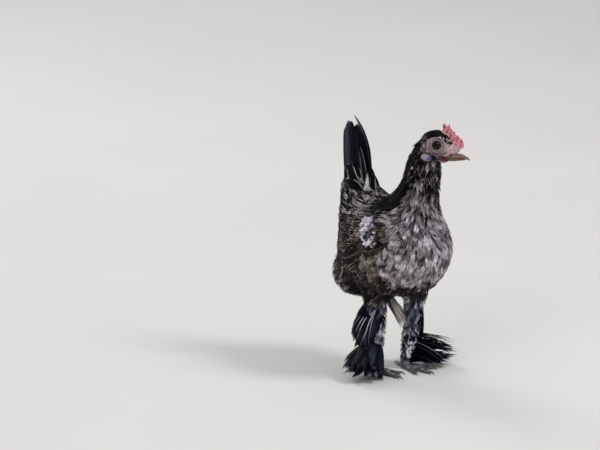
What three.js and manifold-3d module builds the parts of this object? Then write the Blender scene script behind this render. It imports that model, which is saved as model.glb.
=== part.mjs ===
// A feather-legged bantam hen, life size, standing with her head turned a little to her left.
// Millimetres, +Z up. She faces -Y and her left side is +X. Soft parts are modelled out to the tips of
// their feathers. The finished group stands on Z = 0 with its origin under the middle of its box.
import * as THREE from "three";
import { mergeVertices } from "three/addons/utils/BufferGeometryUtils.js";
import Module from "manifold-3d";

const wasm = await Module();
wasm.setup();

// ---------------------------------------------------------------- driving dimensions
const GAP = 0.4; // between solids that touch
const WELD = 0.05; // vertices nearer than this are one
const BACK_HEIGHT = 188; // top of the back, between the neck and the saddle
const BELLY_HEIGHT = 88; // lowest belly feathers
const TRUNK_HALF_WIDTH = 47;
const EYE_HEIGHT = 265;
const HEAD_TURN = 27; // degrees to her left
const HEAD_NOD = 6; // degrees, bill down
const HEAD_CENTRE = [1, -61, EYE_HEIGHT - 3];
const TAIL_ROOT = [0, 34, 204]; // where the middle pair leaves the saddle
const TAIL_LENGTH = 65; // longest tail feather, from there
const TAIL_FEATHERS = 6; // on each side
const HIP_HALF_WIDTH = 25;
const FOOT = { half: 17, at: { left: -8, right: 4 } }; // Y of each foot: the left one leads
const HOCK = { half: 22, ahead: 8 }; // from the midline, and from its foot
const HOCK_HEIGHT = 62;
const ANKLE_HEIGHT = 7.6; // where the feathered shank begins, over the joint of the toes
const TOE_RADIUS = 3;

// ---------------------------------------------------------------- soft fields
// A field gives the distance from a point to a form's surface, negative inside.
const clamp01 = (t) => Math.min(1, Math.max(0, t));
const mix = (a, b, t) => a + (b - a) * t;
const rad = THREE.MathUtils.degToRad;

function ellipsoid([cx, cy, cz], [hx, hy, hz], nose = 0) {
  const c = Math.cos(rad(nose));
  const s = Math.sin(rad(nose)); // nose: degrees by which the front (-Y) end dips
  return (x, y, z) => {
    const dy = y - cy;
    const dz = z - cz;
    const px = (x - cx) / hx;
    const py = (c * dy - s * dz) / hy;
    const pz = (s * dy + c * dz) / hz;
    const k0 = Math.hypot(px, py, pz);
    const k1 = Math.hypot(px / hx, py / hy, pz / hz);
    return k1 < 1e-9 ? -Math.min(hx, hy, hz) : (k0 * (k0 - 1)) / k1;
  };
}

// A tapered tube through stations of [x, y, z, radius].
function tube(...stations) {
  return (x, y, z) => {
    let nearest = Infinity;
    for (let i = 1; i < stations.length; i++) {
      const [ax, ay, az, ar] = stations[i - 1];
      const [bx, by, bz, br] = stations[i];
      const [dx, dy, dz] = [bx - ax, by - ay, bz - az];
      const along = (x - ax) * dx + (y - ay) * dy + (z - az) * dz;
      const t = clamp01(along / (dx * dx + dy * dy + dz * dz));
      const away = Math.hypot(x - ax - dx * t, y - ay - dy * t, z - az - dz * t);
      nearest = Math.min(nearest, away - mix(ar, br, t));
    }
    return nearest;
  };
}

// The forms melted into each other over a width of soft millimetres.
function melt(soft, ...fields) {
  return (x, y, z) =>
    fields
      .map((field) => field(x, y, z))
      .reduce((a, b) => {
        const h = Math.max(soft - Math.abs(a - b), 0) / soft;
        return Math.min(a, b) - (h * h * soft) / 4;
      });
}

const within = (...fields) => (x, y, z) => Math.max(...fields.map((f) => f(x, y, z)));

// A field seen in a frame that is turned and moved.
function posed(field, matrix) {
  const inverse = matrix.clone().invert();
  const p = new THREE.Vector3();
  return (x, y, z) => {
    p.set(x, y, z).applyMatrix4(inverse);
    return field(p.x, p.y, p.z);
  };
}

// ---------------------------------------------------------------- surfaces and solids
// Surface nets: one vertex in each grid cell that the surface crosses, moved onto the surface.
function surfaceNet(field, box, cell) {
  const [nx, ny, nz] = box.getSize(new THREE.Vector3()).divideScalar(cell).ceil().addScalar(1).toArray();
  const at = (i, j, k) => i + nx * (j + ny * k);
  const place = (i, j, k) => [box.min.x + i * cell, box.min.y + j * cell, box.min.z + k * cell];
  const value = new Float32Array(nx * ny * nz);
  for (let k = 0; k < nz; k++)
    for (let j = 0; j < ny; j++)
      for (let i = 0; i < nx; i++) value[at(i, j, k)] = field(...place(i, j, k));

  const corners = [];
  for (let n = 0; n < 8; n++) corners.push([n & 1, (n >> 1) & 1, (n >> 2) & 1]);
  const edges = [];
  for (let a = 0; a < 8; a++) for (const bit of [1, 2, 4]) if (!(a & bit)) edges.push([a, a | bit]);

  const positions = [];
  const vertexIn = new Int32Array(value.length).fill(-1);
  for (let k = 0; k < nz - 1; k++)
    for (let j = 0; j < ny - 1; j++)
      for (let i = 0; i < nx - 1; i++) {
        const sum = [0, 0, 0];
        let crossings = 0;
        for (const [a, b] of edges) {
          const va = value[at(i + corners[a][0], j + corners[a][1], k + corners[a][2])];
          const vb = value[at(i + corners[b][0], j + corners[b][1], k + corners[b][2])];
          if (va < 0 === vb < 0) continue;
          const t = va / (va - vb);
          for (let d = 0; d < 3; d++) sum[d] += mix(corners[a][d], corners[b][d], t);
          crossings++;
        }
        if (!crossings) continue;
        const start = place(i, j, k);
        const p = sum.map((s, d) => start[d] + (s / crossings) * cell);
        vertexIn[at(i, j, k)] = positions.length / 3;
        positions.push(...ontoSurface(field, p, cell));
      }

  const index = [];
  const steps = [[1, 0, 0], [0, 1, 0], [0, 0, 1]];
  for (let k = 1; k < nz - 1; k++)
    for (let j = 1; j < ny - 1; j++)
      for (let i = 1; i < nx - 1; i++)
        steps.forEach(([dx, dy, dz], axis) => {
          const inside = value[at(i, j, k)] < 0;
          if (inside === value[at(i + dx, j + dy, k + dz)] < 0) return;
          const [u, v] = [steps[(axis + 1) % 3], steps[(axis + 2) % 3]];
          const cellAt = (a, b) =>
            vertexIn[at(i - a * u[0] - b * v[0], j - a * u[1] - b * v[1], k - a * u[2] - b * v[2])];
          const ring = [cellAt(0, 0), cellAt(1, 0), cellAt(1, 1), cellAt(0, 1)];
          if (!inside) ring.reverse();
          index.push(ring[0], ring[1], ring[2], ring[0], ring[2], ring[3]);
        });
  const geometry = new THREE.BufferGeometry();
  geometry.setAttribute("position", new THREE.Float32BufferAttribute(positions, 3));
  geometry.setIndex(index);
  return geometry;
}

// Two Newton steps towards the surface, kept within half a cell.
function ontoSurface(field, start, cell) {
  const p = [...start];
  const h = cell / 50;
  for (let n = 0; n < 2; n++) {
    const here = field(...p);
    const slope = [0, 1, 2].map((d) => {
      const q = [...p];
      q[d] += h;
      return (field(...q) - here) / h;
    });
    const steep = slope.reduce((a, s) => a + s * s, 1e-9);
    slope.forEach((s, d) => {
      p[d] = THREE.MathUtils.clamp(p[d] - (here * s) / steep, start[d] - cell / 2, start[d] + cell / 2);
    });
  }
  return p;
}

// A closed blade, toe or claw swept along a path: side is its width's direction, and wide and thick
// give its half sizes from root (0) to tip (1).
function sweep({ path, side, wide, thick, rings = 8, sides = 8 }) {
  const positions = [];
  const across = new THREE.Vector3(...side);
  for (let r = 0; r <= rings; r++) {
    const t = r / rings;
    const centre = path.getPointAt(t);
    const tangent = path.getTangentAt(t);
    const lateral = across.clone().addScaledVector(tangent, -across.dot(tangent)).normalize();
    const up = lateral.clone().cross(tangent);
    const [w, h] = [Math.max(wide(t), 0.15), Math.max(thick(t), 0.12)];
    for (let n = 0; n < sides; n++) {
      const angle = (2 * Math.PI * n) / sides;
      const p = centre.clone().addScaledVector(lateral, w * Math.cos(angle));
      p.addScaledVector(up, h * Math.sin(angle));
      positions.push(...p.toArray());
    }
  }
  const index = [];
  for (let r = 0; r < rings; r++)
    for (let n = 0; n < sides; n++) {
      const [a, b] = [r * sides + n, r * sides + ((n + 1) % sides)];
      index.push(a, a + sides, b, b, a + sides, b + sides);
    }
  for (let n = 1; n < sides - 1; n++) {
    index.push(0, n, n + 1);
    const last = rings * sides;
    index.push(last, last + n + 1, last + n);
  }
  const geometry = new THREE.BufferGeometry();
  geometry.setAttribute("position", new THREE.Float32BufferAttribute(positions, 3));
  geometry.setIndex(index);
  return geometry;
}

function solid(geometry, matrix = new THREE.Matrix4()) {
  const plain = new THREE.BufferGeometry();
  plain.setAttribute("position", geometry.getAttribute("position").clone());
  plain.setIndex(geometry.index);
  const merged = mergeVertices(plain.applyMatrix4(matrix), 1e-4);
  const made = new wasm.Manifold(
    new wasm.Mesh({
      numProp: 3,
      vertProperties: merged.attributes.position.array,
      triVerts: new Uint32Array(merged.index.array),
    }),
  );
  return made;
}

const joined = (solids) => solids.reduce((a, b) => a.add(b));
const boxAround = (min, max) => new THREE.Box3(new THREE.Vector3(...min), new THREE.Vector3(...max));

// A large block whose one face is a plane through point, square to normal, on the side normal points to.
function beyond(point, normal) {
  const size = 400;
  const away = new THREE.Vector3(...normal).normalize();
  const turn = new THREE.Quaternion().setFromUnitVectors(new THREE.Vector3(0, 0, 1), away);
  const centre = new THREE.Vector3(...point).addScaledVector(away, size / 2);
  const matrix = new THREE.Matrix4().compose(centre, turn, new THREE.Vector3(1, 1, 1));
  return solid(new THREE.BoxGeometry(size, size, size), matrix);
}

// A rounded lump of the given half sizes.
function lump(centre, half, around = 8, rows = 6) {
  const matrix = new THREE.Matrix4().makeTranslation(...centre).scale(new THREE.Vector3(...half));
  return solid(new THREE.SphereGeometry(1, around, rows), matrix);
}
const hen = new THREE.Group();

// The solid's surface, with the slivers that cutting leaves behind closed up.
function cleaned(made) {
  const { vertProperties, triVerts } = made.getMesh();
  const rough = new THREE.BufferGeometry();
  rough.setAttribute("position", new THREE.Float32BufferAttribute(vertProperties, 3));
  rough.setIndex([...triVerts]);
  const geometry = mergeVertices(rough, WELD);
  const index = [...geometry.index.array];
  const kept = [];
  for (let i = 0; i < index.length; i += 3) {
    const [a, b, c] = index.slice(i, i + 3);
    if (a !== b && b !== c && c !== a) kept.push(a, b, c);
  }
  geometry.setIndex(kept);
  return geometry;
}

function addPart(name, made, finish) {
  const geometry = cleaned(made);
  geometry.computeVertexNormals();
  const mesh = new THREE.Mesh(geometry, finish);
  mesh.name = name;
  hen.add(mesh);
}

const finish = (color, roughness) => new THREE.MeshStandardMaterial({ color, roughness, metalness: 0 });
const FEATHER_GREY = finish("#7f787b", 0.8);
const FEATHER_DARK = finish("#2b2826", 0.7);
const FEATHER_BLACK = finish("#17151a", 0.55);
const FACE_SKIN = finish("#a08a86", 0.7);
const COMB_RED = finish("#c4616b", 0.6);
const LOBE_WHITE = finish("#a7a3b8", 0.6);
const HORN = finish("#8d7a66", 0.45);
const EYE_DARK = finish("#2a1410", 0.08);
const TOE_SKIN = finish("#6f6a6c", 0.7);

// ---------------------------------------------------------------- head, neck and trunk: one soft body
const headPose = new THREE.Matrix4()
  .makeTranslation(...HEAD_CENTRE)
  .multiply(new THREE.Matrix4().makeRotationZ(rad(HEAD_TURN)))
  .multiply(new THREE.Matrix4().makeRotationX(rad(HEAD_NOD)));

// In the head's own frame the eyes are 2 mm above the origin and the bill points along -Y.
const headForm = posed(
  melt(
    6,
    ellipsoid([0, 2, 1.8], [11.8, 14.5, 13.2], 6),
    ellipsoid([0, -9, -3], [9.4, 13.5, 10.6], 12),
    ellipsoid([0, -1, -10], [9.8, 14, 8.6]),
    tube([0, -12, -4, 7], [0, -23, -4.6, 4.8], [0, -28, -2.8, 3.4]),
    tube([0, -7, 8.4, 7.2], [0, -15, 5.8, 6.4], [0, -21, 1.8, 4.8]),
  ),
  headPose,
);

const neckForm = melt(
  10,
  tube([0, -17, 156, 37], [0, -35, 186, 27.5], [0, -43, 208, 20.5], [1, -48, 230, 16]),
  tube([1, -48, 230, 16], [-1, -55, 250, 11.5]),
);

const trunkForm = melt(
  16,
  ellipsoid([0, -27, 142], [TRUNK_HALF_WIDTH, 48, 49], 10),
  ellipsoid([0, 10, 140], [TRUNK_HALF_WIDTH, 54, BACK_HEIGHT - 140]),
  ellipsoid([0, -4, BELLY_HEIGHT + 28], [38, 50, 26]),
  ellipsoid([0, 45, 96], [30, 30, 19], -24),
  tube([0, 16, 158, 28], [0, 36, 176, 25], [0, 47, 196, 17.5]),
);

const bodyForm = melt(8, melt(14, trunkForm, neckForm), headForm);

// Planes that part the body, each with its normal towards the far side.
const NECK_TOP = { at: [1, -50, 246], normal: [0.1, -0.3, 0.95] };
const NECK_BASE = { at: [0, -26, 184], normal: [0, -0.5, 0.86] };
const TAIL_CUT = { at: [0, 40, 181], normal: [0, 0.3, 0.95] };
const TAIL_TOP = { at: [0, 45, TAIL_ROOT[2] - 2], normal: [0, 0, 1] };
const FLUFF_CUT = { at: [0, 30, 112], normal: [0, 0.86, -0.5] };
const behind = ({ at, normal }) => ({ at, normal: normal.map((v) => -v) });

function cutOff(made, { at, normal }, gap = 0) {
  const n = new THREE.Vector3(...normal).normalize();
  const point = new THREE.Vector3(...at).addScaledVector(n, -gap / 2);
  return made.subtract(beyond(point.toArray(), normal));
}

// What a field bounds within a box, as a closed surface.
function shapeOf(field, min, max, cell) {
  const rim = 1.5 * cell;
  const walls = (x, y, z) =>
    Math.max(min[0] - x, x - max[0], min[1] - y, y - max[1], min[2] - z, z - max[2]);
  const room = boxAround(
    min.map((v) => v - rim),
    max.map((v) => v + rim),
  );
  return surfaceNet(within(field, walls), room, cell);
}
const formed = (...of) => solid(shapeOf(...of));

// A surface moved out along its normals.
function swollen(shape, by) {
  const moved = shape.clone();
  moved.computeVertexNormals();
  const { position, normal } = moved.attributes;
  for (let i = 0; i < position.array.length; i++) position.array[i] += by * normal.array[i];
  return moved;
}

const everyCut = (made, cuts) => cuts.reduce((a, cut) => cutOff(a, cut, GAP), made);
const without = (made, others) => others.reduce((a, b) => a.subtract(b), made);
const sides = [
  { name: "left", sign: 1 },
  { name: "right", sign: -1 },
];

// ---------------------------------------------------------------- eyes, bill, comb, wattles, ear lobes
const EYE_RADIUS = 5.2;
const inHead = (made) => made.transform(headPose.elements);

function eyeball(sign, grow = 0) {
  const radius = EYE_RADIUS + grow;
  return inHead(lump([sign * 5.9, -7, 1.7], [radius, radius, radius], 10, 7));
}

// A sweep in the head's own frame, along points in its middle plane given as [y, z].
function headSweep(points, wide, thick, rings, around) {
  const path = new THREE.CatmullRomCurve3(points.map(([y, z]) => new THREE.Vector3(0, y, z)));
  return sweep({ path, side: [1, 0, 0], wide, thick, rings, sides: around });
}

const BILL_HALF_WIDTH = 4.6;
const upperShape = headSweep(
  [[-20, -7.4], [-26, -6.6], [-33, -7], [-38.5, -8], [-43.4, -11]],
  (t) => mix(BILL_HALF_WIDTH, 0.7, t ** 1.3),
  (t) => mix(4.2, 0.7, t ** 0.9),
  7,
  8,
);
const lowerShape = headSweep(
  [[-20, -12.4], [-28, -12.2], [-38, -11]],
  (t) => mix(BILL_HALF_WIDTH - 0.8, 1.1, t),
  (t) => mix(2.6, 0.9, t),
  4,
  6,
);
const upperBill = inHead(solid(upperShape));
const lowerBill = inHead(solid(lowerShape).subtract(solid(swollen(upperShape, GAP))));

// A flat plate from a side outline of [y, z] points, with its faces at x = +-half.
function plate(outline, half) {
  const shape = new THREE.Shape(outline.map(([y, z]) => new THREE.Vector2(y, z)));
  const bevel = { bevelThickness: half * 0.6, bevelSize: half * 0.5, bevelSegments: 1 };
  const made = new THREE.ExtrudeGeometry(shape, { depth: half * 0.8, ...bevel });
  made.translate(0, 0, -half * 0.4);
  const upright = new THREE.Matrix4().makeBasis(
    new THREE.Vector3(0, 1, 0),
    new THREE.Vector3(0, 0, 1),
    new THREE.Vector3(1, 0, 0),
  );
  return solid(made, upright);
}

const COMB_OUTLINE = [
  [-34.4, 2.8], [-33.4, 8], [-31.4, 12.6], [-28.8, 12.4], [-27.4, 16.6], [-24.4, 16.4], [-21.8, 21.2],
  [-18.8, 21], [-16.2, 26], [-13.1, 22.2], [-10.2, 25], [-8.4, 18.5], [-9, 13], [-15, 9], [-20, 5],
  [-25, 1], [-30.5, -0.8],
];
const comb = inHead(plate(COMB_OUTLINE, 1.7));

const wattle = (sign) => inHead(lump([sign * 5, -16, -14.6], [2.2, 5.2, 4.2]));
const lobe = (sign) => inHead(lump([sign * 11.6, 0.8, -12.4], [3.4, 4.7, 4.2]));

// ---------------------------------------------------------------- wings
const WING = { centre: [42, 2, 149], half: [11, 46, 30], yaw: 9, roll: 13, dip: -9 };

function wingForm(sign) {
  const turn = new THREE.Matrix4()
    .makeTranslation(sign * WING.centre[0], WING.centre[1], WING.centre[2])
    .multiply(new THREE.Matrix4().makeRotationZ(rad(sign * WING.yaw)))
    .multiply(new THREE.Matrix4().makeRotationY(rad(-sign * WING.roll)))
    .multiply(new THREE.Matrix4().makeRotationX(rad(WING.dip)));
  const [hx, hy, hz] = WING.half;
  return posed(
    melt(8, ellipsoid([0, -5, 2], [hx, hy - 6, hz]), ellipsoid([0, 17, -5], [hx - 2, hy - 14, hz - 12])),
    turn,
  );
}
const WING_BOX = { min: [18, -58, 108], max: [62, 76, 188] };
const mirroredBox = (sign, { min, max }) =>
  sign > 0 ? [min, max] : [[-max[0], min[1], min[2]], [-min[0], max[1], max[2]]];
const wing = (sign) => formed(wingForm(sign), ...mirroredBox(sign, WING_BOX), 10.6);

// ---------------------------------------------------------------- tail
const TAIL_SPACING = 1.9; // between neighbouring feathers, side to side
const TAIL_REAR = { root: 18, tip: 9 }; // how far the outer feathers stand behind the middle pair
const TAIL_BACK = 9; // by which a middle feather's tip is behind its root

// The tail is a steep roof: its middle pair in front on the ridge, the outer pairs lower and behind.
function tailFeather(sign, n) {
  const t = n / (TAIL_FEATHERS - 1);
  const [, y, z] = TAIL_ROOT;
  const root = new THREE.Vector3(sign * (1 + TAIL_SPACING * n), y + TAIL_REAR.root * t, z);
  const top = new THREE.Vector3(
    sign * (1 + TAIL_SPACING * 0.7 * n),
    y + TAIL_BACK + TAIL_REAR.tip * t,
    z + TAIL_LENGTH * (1 - 0.1 * t),
  );
  const middle = root.clone().lerp(top, 0.5);
  middle.y += 3;
  const path = new THREE.QuadraticBezierCurve3(root, middle, top);
  const wide = (u) => 8.6 * Math.min(1, 0.6 + u) * Math.sqrt(Math.max(0, 1 - u ** 7));
  return solid(sweep({ path, side: [0, 1, 0], wide, thick: () => 0.6, rings: 7, sides: 4 }));
}

// ---------------------------------------------------------------- legs
function legOf({ name, sign }) {
  const foot = [sign * FOOT.half, FOOT.at[name], ANKLE_HEIGHT];
  const hock = [sign * HOCK.half, foot[1] - HOCK.ahead, HOCK_HEIGHT];
  const hip = [sign * HIP_HALF_WIDTH, hock[1] + 1, BELLY_HEIGHT + 20];
  return { foot, hock, hip };
}

const between = (a, b, t) => a.map((v, d) => mix(v, b[d], t));
const thighForm = ({ hip, hock }) => tube([...hip, 19], [...between(hip, hock, 0.55), 14], [...hock, 9]);
const shankForm = ({ hock, foot }) =>
  tube([...hock, 8.6], [...between(hock, foot, 0.45), 8.8], [...foot, 5.4]);

// A feather blade from root to tip that bends by sag millimetres, flat towards face.
function blade(root, tip, { sag = [0, 0, 0], side, wide, thick = 0.7, rings = 4, sides: around = 4 }) {
  const middle = root.map((v, d) => (v + tip[d]) / 2 + sag[d]);
  const path = new THREE.QuadraticBezierCurve3(
    new THREE.Vector3(...root),
    new THREE.Vector3(...middle),
    new THREE.Vector3(...tip),
  );
  const outline = (t) => wide * Math.min(1, 0.45 + 1.6 * t) * Math.sqrt(Math.max(0, 1 - t ** 5));
  return solid(sweep({ path, side, wide: outline, thick: () => thick, rings, sides: around }));
}

const ball = (centre, radius) => lump(centre, [radius, radius, radius], 8, 5);

const HOCK_FAN = [
  { out: 6, back: 24, drop: 30, wide: 7 },
  { out: 9, back: 15, drop: 41, wide: 8 },
  { out: 10, back: 5, drop: 44, wide: 8 },
  { out: 8, back: -5, drop: 37, wide: 6.5 },
];

function hockFan({ hock }, sign) {
  const from = [hock[0] + sign * 9, hock[1] + 3, hock[2] + 7];
  const blades = HOCK_FAN.map(({ out, back, drop, wide }) =>
    blade(from, [from[0] + sign * out, from[1] + back, from[2] - drop], {
      sag: [sign * 3, 0, 2],
      side: [0, drop, back],
      wide,
    }),
  );
  return joined([ball(from, 5.5), ...blades]);
}

const BOOT = [
  { out: 20, ahead: 34, level: 9, wide: 6.5 },
  { out: 39, ahead: 27, level: 21, wide: 7.5 },
  { out: 33, ahead: 20, level: 31, wide: 6.5 },
  { out: 44, ahead: 9, level: 14, wide: 8 },
  { out: 37, ahead: -13, level: 12, wide: 7 },
];

function boot({ foot }, sign) {
  const from = [foot[0] + sign * 7, foot[1] - 1, 17];
  const blades = BOOT.map(({ out, ahead, level, wide }) =>
    blade(from, [from[0] + sign * out, from[1] - ahead, level], {
      sag: [0, 0, 4],
      side: [ahead * 0.5, 0, 1 + (level - 9) * 3],
      wide,
    }),
  );
  return joined([ball(from, 5), ...blades]);
}

const TOES = [
  { turn: 2, length: 35 },
  { turn: -23, length: 27 },
  { turn: 32, length: 28 },
  { turn: 170, length: 14 },
];
const CLAW_LENGTH = 8;
const TOE_TIP_RADIUS = 1.9;
const SOLE_DEPTH = 0.3; // cut off under each toe, which leaves a flat

// Each toe runs from the joint under the shank. Its section is a hexagon with a side below.
const toeLevel = (radius) => radius * Math.sin(rad(60)) - SOLE_DEPTH;

function toeEnds({ foot }, sign, { turn, length }) {
  const heading = rad(turn) * sign;
  const along = new THREE.Vector3(Math.sin(heading), -Math.cos(heading), 0);
  const start = new THREE.Vector3(foot[0], foot[1], toeLevel(TOE_RADIUS));
  const end = start.clone().addScaledVector(along, length).setZ(toeLevel(TOE_TIP_RADIUS));
  return { along, start, end, side: [along.y, -along.x, 0] };
}

function toe(leg, sign, spec) {
  const { start, end, side } = toeEnds(leg, sign, spec);
  const path = new THREE.LineCurve3(start, end);
  const wide = (t) => mix(TOE_RADIUS, TOE_TIP_RADIUS, t);
  return solid(sweep({ path, side, wide, thick: wide, rings: 3, sides: 6 }));
}

function claw(leg, sign, spec) {
  const { along, end, side } = toeEnds(leg, sign, spec);
  const start = end.clone().addScaledVector(along, 2 * GAP);
  const middle = start.clone().addScaledVector(along, CLAW_LENGTH * 0.6).setZ(start.z + 1.6);
  const path = new THREE.QuadraticBezierCurve3(
    start,
    middle,
    start.clone().addScaledVector(along, CLAW_LENGTH).setZ(0.7),
  );
  const wide = (t) => mix(1.35, 0.3, t);
  return solid(sweep({ path, side, wide, thick: (t) => wide(t) * 1.05, rings: 3, sides: 5 }));
}

// ---------------------------------------------------------------- the body's parts
const legs = Object.fromEntries(sides.map((one) => [one.name, legOf(one)]));
const floorBelow = beyond([0, 0, 0], [0, 0, -1]);
const ankle = { at: [0, 0, ANKLE_HEIGHT], normal: [0, 0, -1] };
const footPad = ({ foot }) => lump([foot[0], foot[1], 3.4], [5, 5.6, ANKLE_HEIGHT - 3.8]);
const torsoShape = shapeOf(bodyForm, [-70, -90, 70], [70, 90, 222], 11.2);
const torso = solid(torsoShape);
const onTorso = (made) => made.subtract(solid(swollen(torsoShape, GAP)));
const legParts = sides.map(({ name, sign }) => {
  const leg = legs[name];
  const knee = { at: [leg.hock[0], leg.hock[1], leg.hock[2] + 2], normal: [0, 0, 1] };
  const [x, y] = leg.hip;
  const thigh = shapeOf(thighForm(leg), [x - 32, y - 40, 46], [x + 32, y + 44, 140], 8);
  const shank = shapeOf(shankForm(leg), [sign * 20 - 24, -40, 4], [sign * 20 + 24, 40, 84], 6);
  const limb = [solid(swollen(thigh, GAP)), solid(swollen(shank, GAP))];
  return {
    thigh: onTorso(cutOff(solid(thigh), behind(knee), GAP)),
    shank: everyCut(solid(shank), [knee, ankle]),
    hock: without(hockFan(leg, sign), limb),
    boot: without(boot(leg, sign), limb),
    foot: joined([footPad(leg), ...TOES.map((spec) => toe(leg, sign, spec))]).subtract(floorBelow),
  };
});

const headShape = shapeOf(bodyForm, [-24, -100, 232], [30, -24, 290], 5.2);
const skull = cutOff(solid(headShape), behind(NECK_TOP), GAP);
const head = without(skull, [eyeball(1, GAP), eyeball(-1, GAP)]);
const throat = formed(bodyForm, [-48, -90, 150], [48, 20, 262], 8);
const neck = everyCut(throat, [NECK_TOP, behind(NECK_BASE)]);
const onHead = (made) => made.subtract(solid(swollen(headShape, GAP)));

addPart("head", head, FACE_SKIN);
addPart("neck", neck, FEATHER_GREY);
addPart("trunk", everyCut(torso, [NECK_BASE, TAIL_CUT, FLUFF_CUT]), FEATHER_GREY);
addPart("rear_fluff", everyCut(torso, [behind(FLUFF_CUT), TAIL_CUT]), FEATHER_GREY);
addPart("saddle", everyCut(cutOff(torso, NECK_BASE), [behind(TAIL_CUT), TAIL_TOP]), FEATHER_DARK);
addPart("comb", onHead(comb), COMB_RED);
addPart("bill_upper", onHead(upperBill), HORN);
addPart("bill_lower", onHead(lowerBill), HORN);

sides.forEach(({ name, sign }, n) => {
  const part = legParts[n];
  addPart(`eye_${name}`, eyeball(sign), EYE_DARK);
  addPart(`wattle_${name}`, onHead(wattle(sign)), COMB_RED);
  addPart(`ear_lobe_${name}`, onHead(lobe(sign)), LOBE_WHITE);
  addPart(`wing_${name}`, onTorso(wing(sign)), FEATHER_DARK);
  addPart(`thigh_${name}`, part.thigh, FEATHER_GREY);
  addPart(`shank_${name}`, part.shank, FEATHER_GREY);
  addPart(`hock_feathers_${name}`, part.hock, FEATHER_BLACK);
  addPart(`foot_feathers_${name}`, part.boot, FEATHER_BLACK);
  addPart(`foot_${name}`, part.foot, TOE_SKIN);
  for (let k = 0; k < TAIL_FEATHERS; k++)
    addPart(`tail_feather_${name}_${k + 1}`, tailFeather(sign, k), FEATHER_BLACK);
  TOES.forEach((spec, k) => addPart(`claw_${name}_${k + 1}`, claw(legs[name], sign, spec), HORN));
});

// The group's origin goes under the middle of the box, at the level of the soles.
const box = new THREE.Box3().setFromObject(hen);
const middle = box.getCenter(new THREE.Vector3());
hen.position.set(-middle.x, -middle.y, -box.min.z);

export default hen;
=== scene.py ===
"""A feather-legged bantam hen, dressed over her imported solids.

Shapes are worked out in millimetres in the frame of the hen's own forms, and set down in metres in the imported
frame. One skin covers head, neck, trunk, wings and legs. Feathers are thin closed vanes laid over it.
"""

import math

import bpy
import numpy as np
from mathutils import Matrix, Vector

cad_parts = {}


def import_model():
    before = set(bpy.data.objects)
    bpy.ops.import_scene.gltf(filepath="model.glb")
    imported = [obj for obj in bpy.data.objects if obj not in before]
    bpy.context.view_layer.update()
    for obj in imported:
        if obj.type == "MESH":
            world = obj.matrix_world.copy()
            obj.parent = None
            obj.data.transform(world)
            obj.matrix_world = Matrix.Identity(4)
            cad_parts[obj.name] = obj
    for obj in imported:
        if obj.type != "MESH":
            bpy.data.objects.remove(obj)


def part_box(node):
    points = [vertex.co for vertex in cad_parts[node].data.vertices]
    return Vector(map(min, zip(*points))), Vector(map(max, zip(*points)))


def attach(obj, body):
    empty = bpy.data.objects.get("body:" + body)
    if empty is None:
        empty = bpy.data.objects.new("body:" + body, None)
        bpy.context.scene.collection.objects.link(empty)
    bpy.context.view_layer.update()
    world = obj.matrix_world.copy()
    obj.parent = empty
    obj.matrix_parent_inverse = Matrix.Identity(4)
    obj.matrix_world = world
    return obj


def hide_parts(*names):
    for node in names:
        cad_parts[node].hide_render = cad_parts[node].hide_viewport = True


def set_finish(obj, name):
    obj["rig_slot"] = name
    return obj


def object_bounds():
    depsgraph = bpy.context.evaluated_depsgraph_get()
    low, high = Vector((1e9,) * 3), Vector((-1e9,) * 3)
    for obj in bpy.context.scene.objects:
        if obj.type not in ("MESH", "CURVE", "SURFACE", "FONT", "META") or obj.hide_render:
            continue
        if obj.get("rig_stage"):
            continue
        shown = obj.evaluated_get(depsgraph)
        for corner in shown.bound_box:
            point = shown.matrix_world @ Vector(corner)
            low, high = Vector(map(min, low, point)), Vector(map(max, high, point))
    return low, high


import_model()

CAD_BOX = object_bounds()
MM = 0.001
RNG = np.random.default_rng(1438)  # every feather's own chances, drawn in the order of the script

# ---------------------------------------------------------------- driving sizes, as in the solids
BACK_HEIGHT = 188
BELLY_HEIGHT = 88
TRUNK_HALF_WIDTH = 47
HEAD_TURN = 27  # degrees, to her left
HEAD_NOD = 6
HEAD_CENTRE = (1, -61, 262)
EYE_CENTRE = (5.9, -7.0, 1.7)  # in the head's own frame, for the left eye
EYE_RADIUS = 5.2
TAIL_ROOT = (0, 34, 204)
HIP_HALF_WIDTH = 25
FOOT_HALF = 17
FOOT_Y = {"left": -8, "right": 4}
HOCK_HALF = 22
HOCK_AHEAD = 8
HOCK_HEIGHT = 62
ANKLE_HEIGHT = 7.6
SIDES = {"left": 1, "right": -1}


# ---------------------------------------------------------------- soft fields, on arrays of points
def unit(v):
    return v / np.maximum(np.linalg.norm(v, axis=-1, keepdims=True), 1e-9)


def ramp(x, low, high):
    """0 up to low, 1 from high on, smooth between."""
    t = np.clip((x - low) / (high - low), 0, 1)
    return t * t * (3 - 2 * t)


def within(value, low, high, soft=4.0):
    """1 from low to high, 0 outside, over edges about twice soft wide."""
    return ramp(value, low - soft, low + soft) * (1 - ramp(value, high - soft, high + soft))


def bump(*terms):
    """A smooth hump of height 1 where every (offset / width) is 0."""
    return np.exp(-sum(t * t for t in terms))


def mix(a, b, t):
    return a + (b - a) * t


def blend(a, b, share):
    """Colours a moved towards b, a row for each share."""
    return mix(a, b, share[:, None])


def ellipsoid(centre, half, nose=0.0):
    """Near enough the distance to an ellipsoid with half sizes half, its nose turned down by nose degrees."""
    centre, half = np.array(centre, float), np.array(half, float)
    c, s = math.cos(math.radians(nose)), math.sin(math.radians(nose))

    def field(p):
        d = p - centre
        q = np.stack([d[:, 0], c * d[:, 1] - s * d[:, 2], s * d[:, 1] + c * d[:, 2]], 1) / half
        k0 = np.linalg.norm(q, axis=1)
        k1 = np.linalg.norm(q / half, axis=1)
        return np.where(k1 < 1e-9, -half.min(), k0 * (k0 - 1) / np.maximum(k1, 1e-9))

    return field


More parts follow.
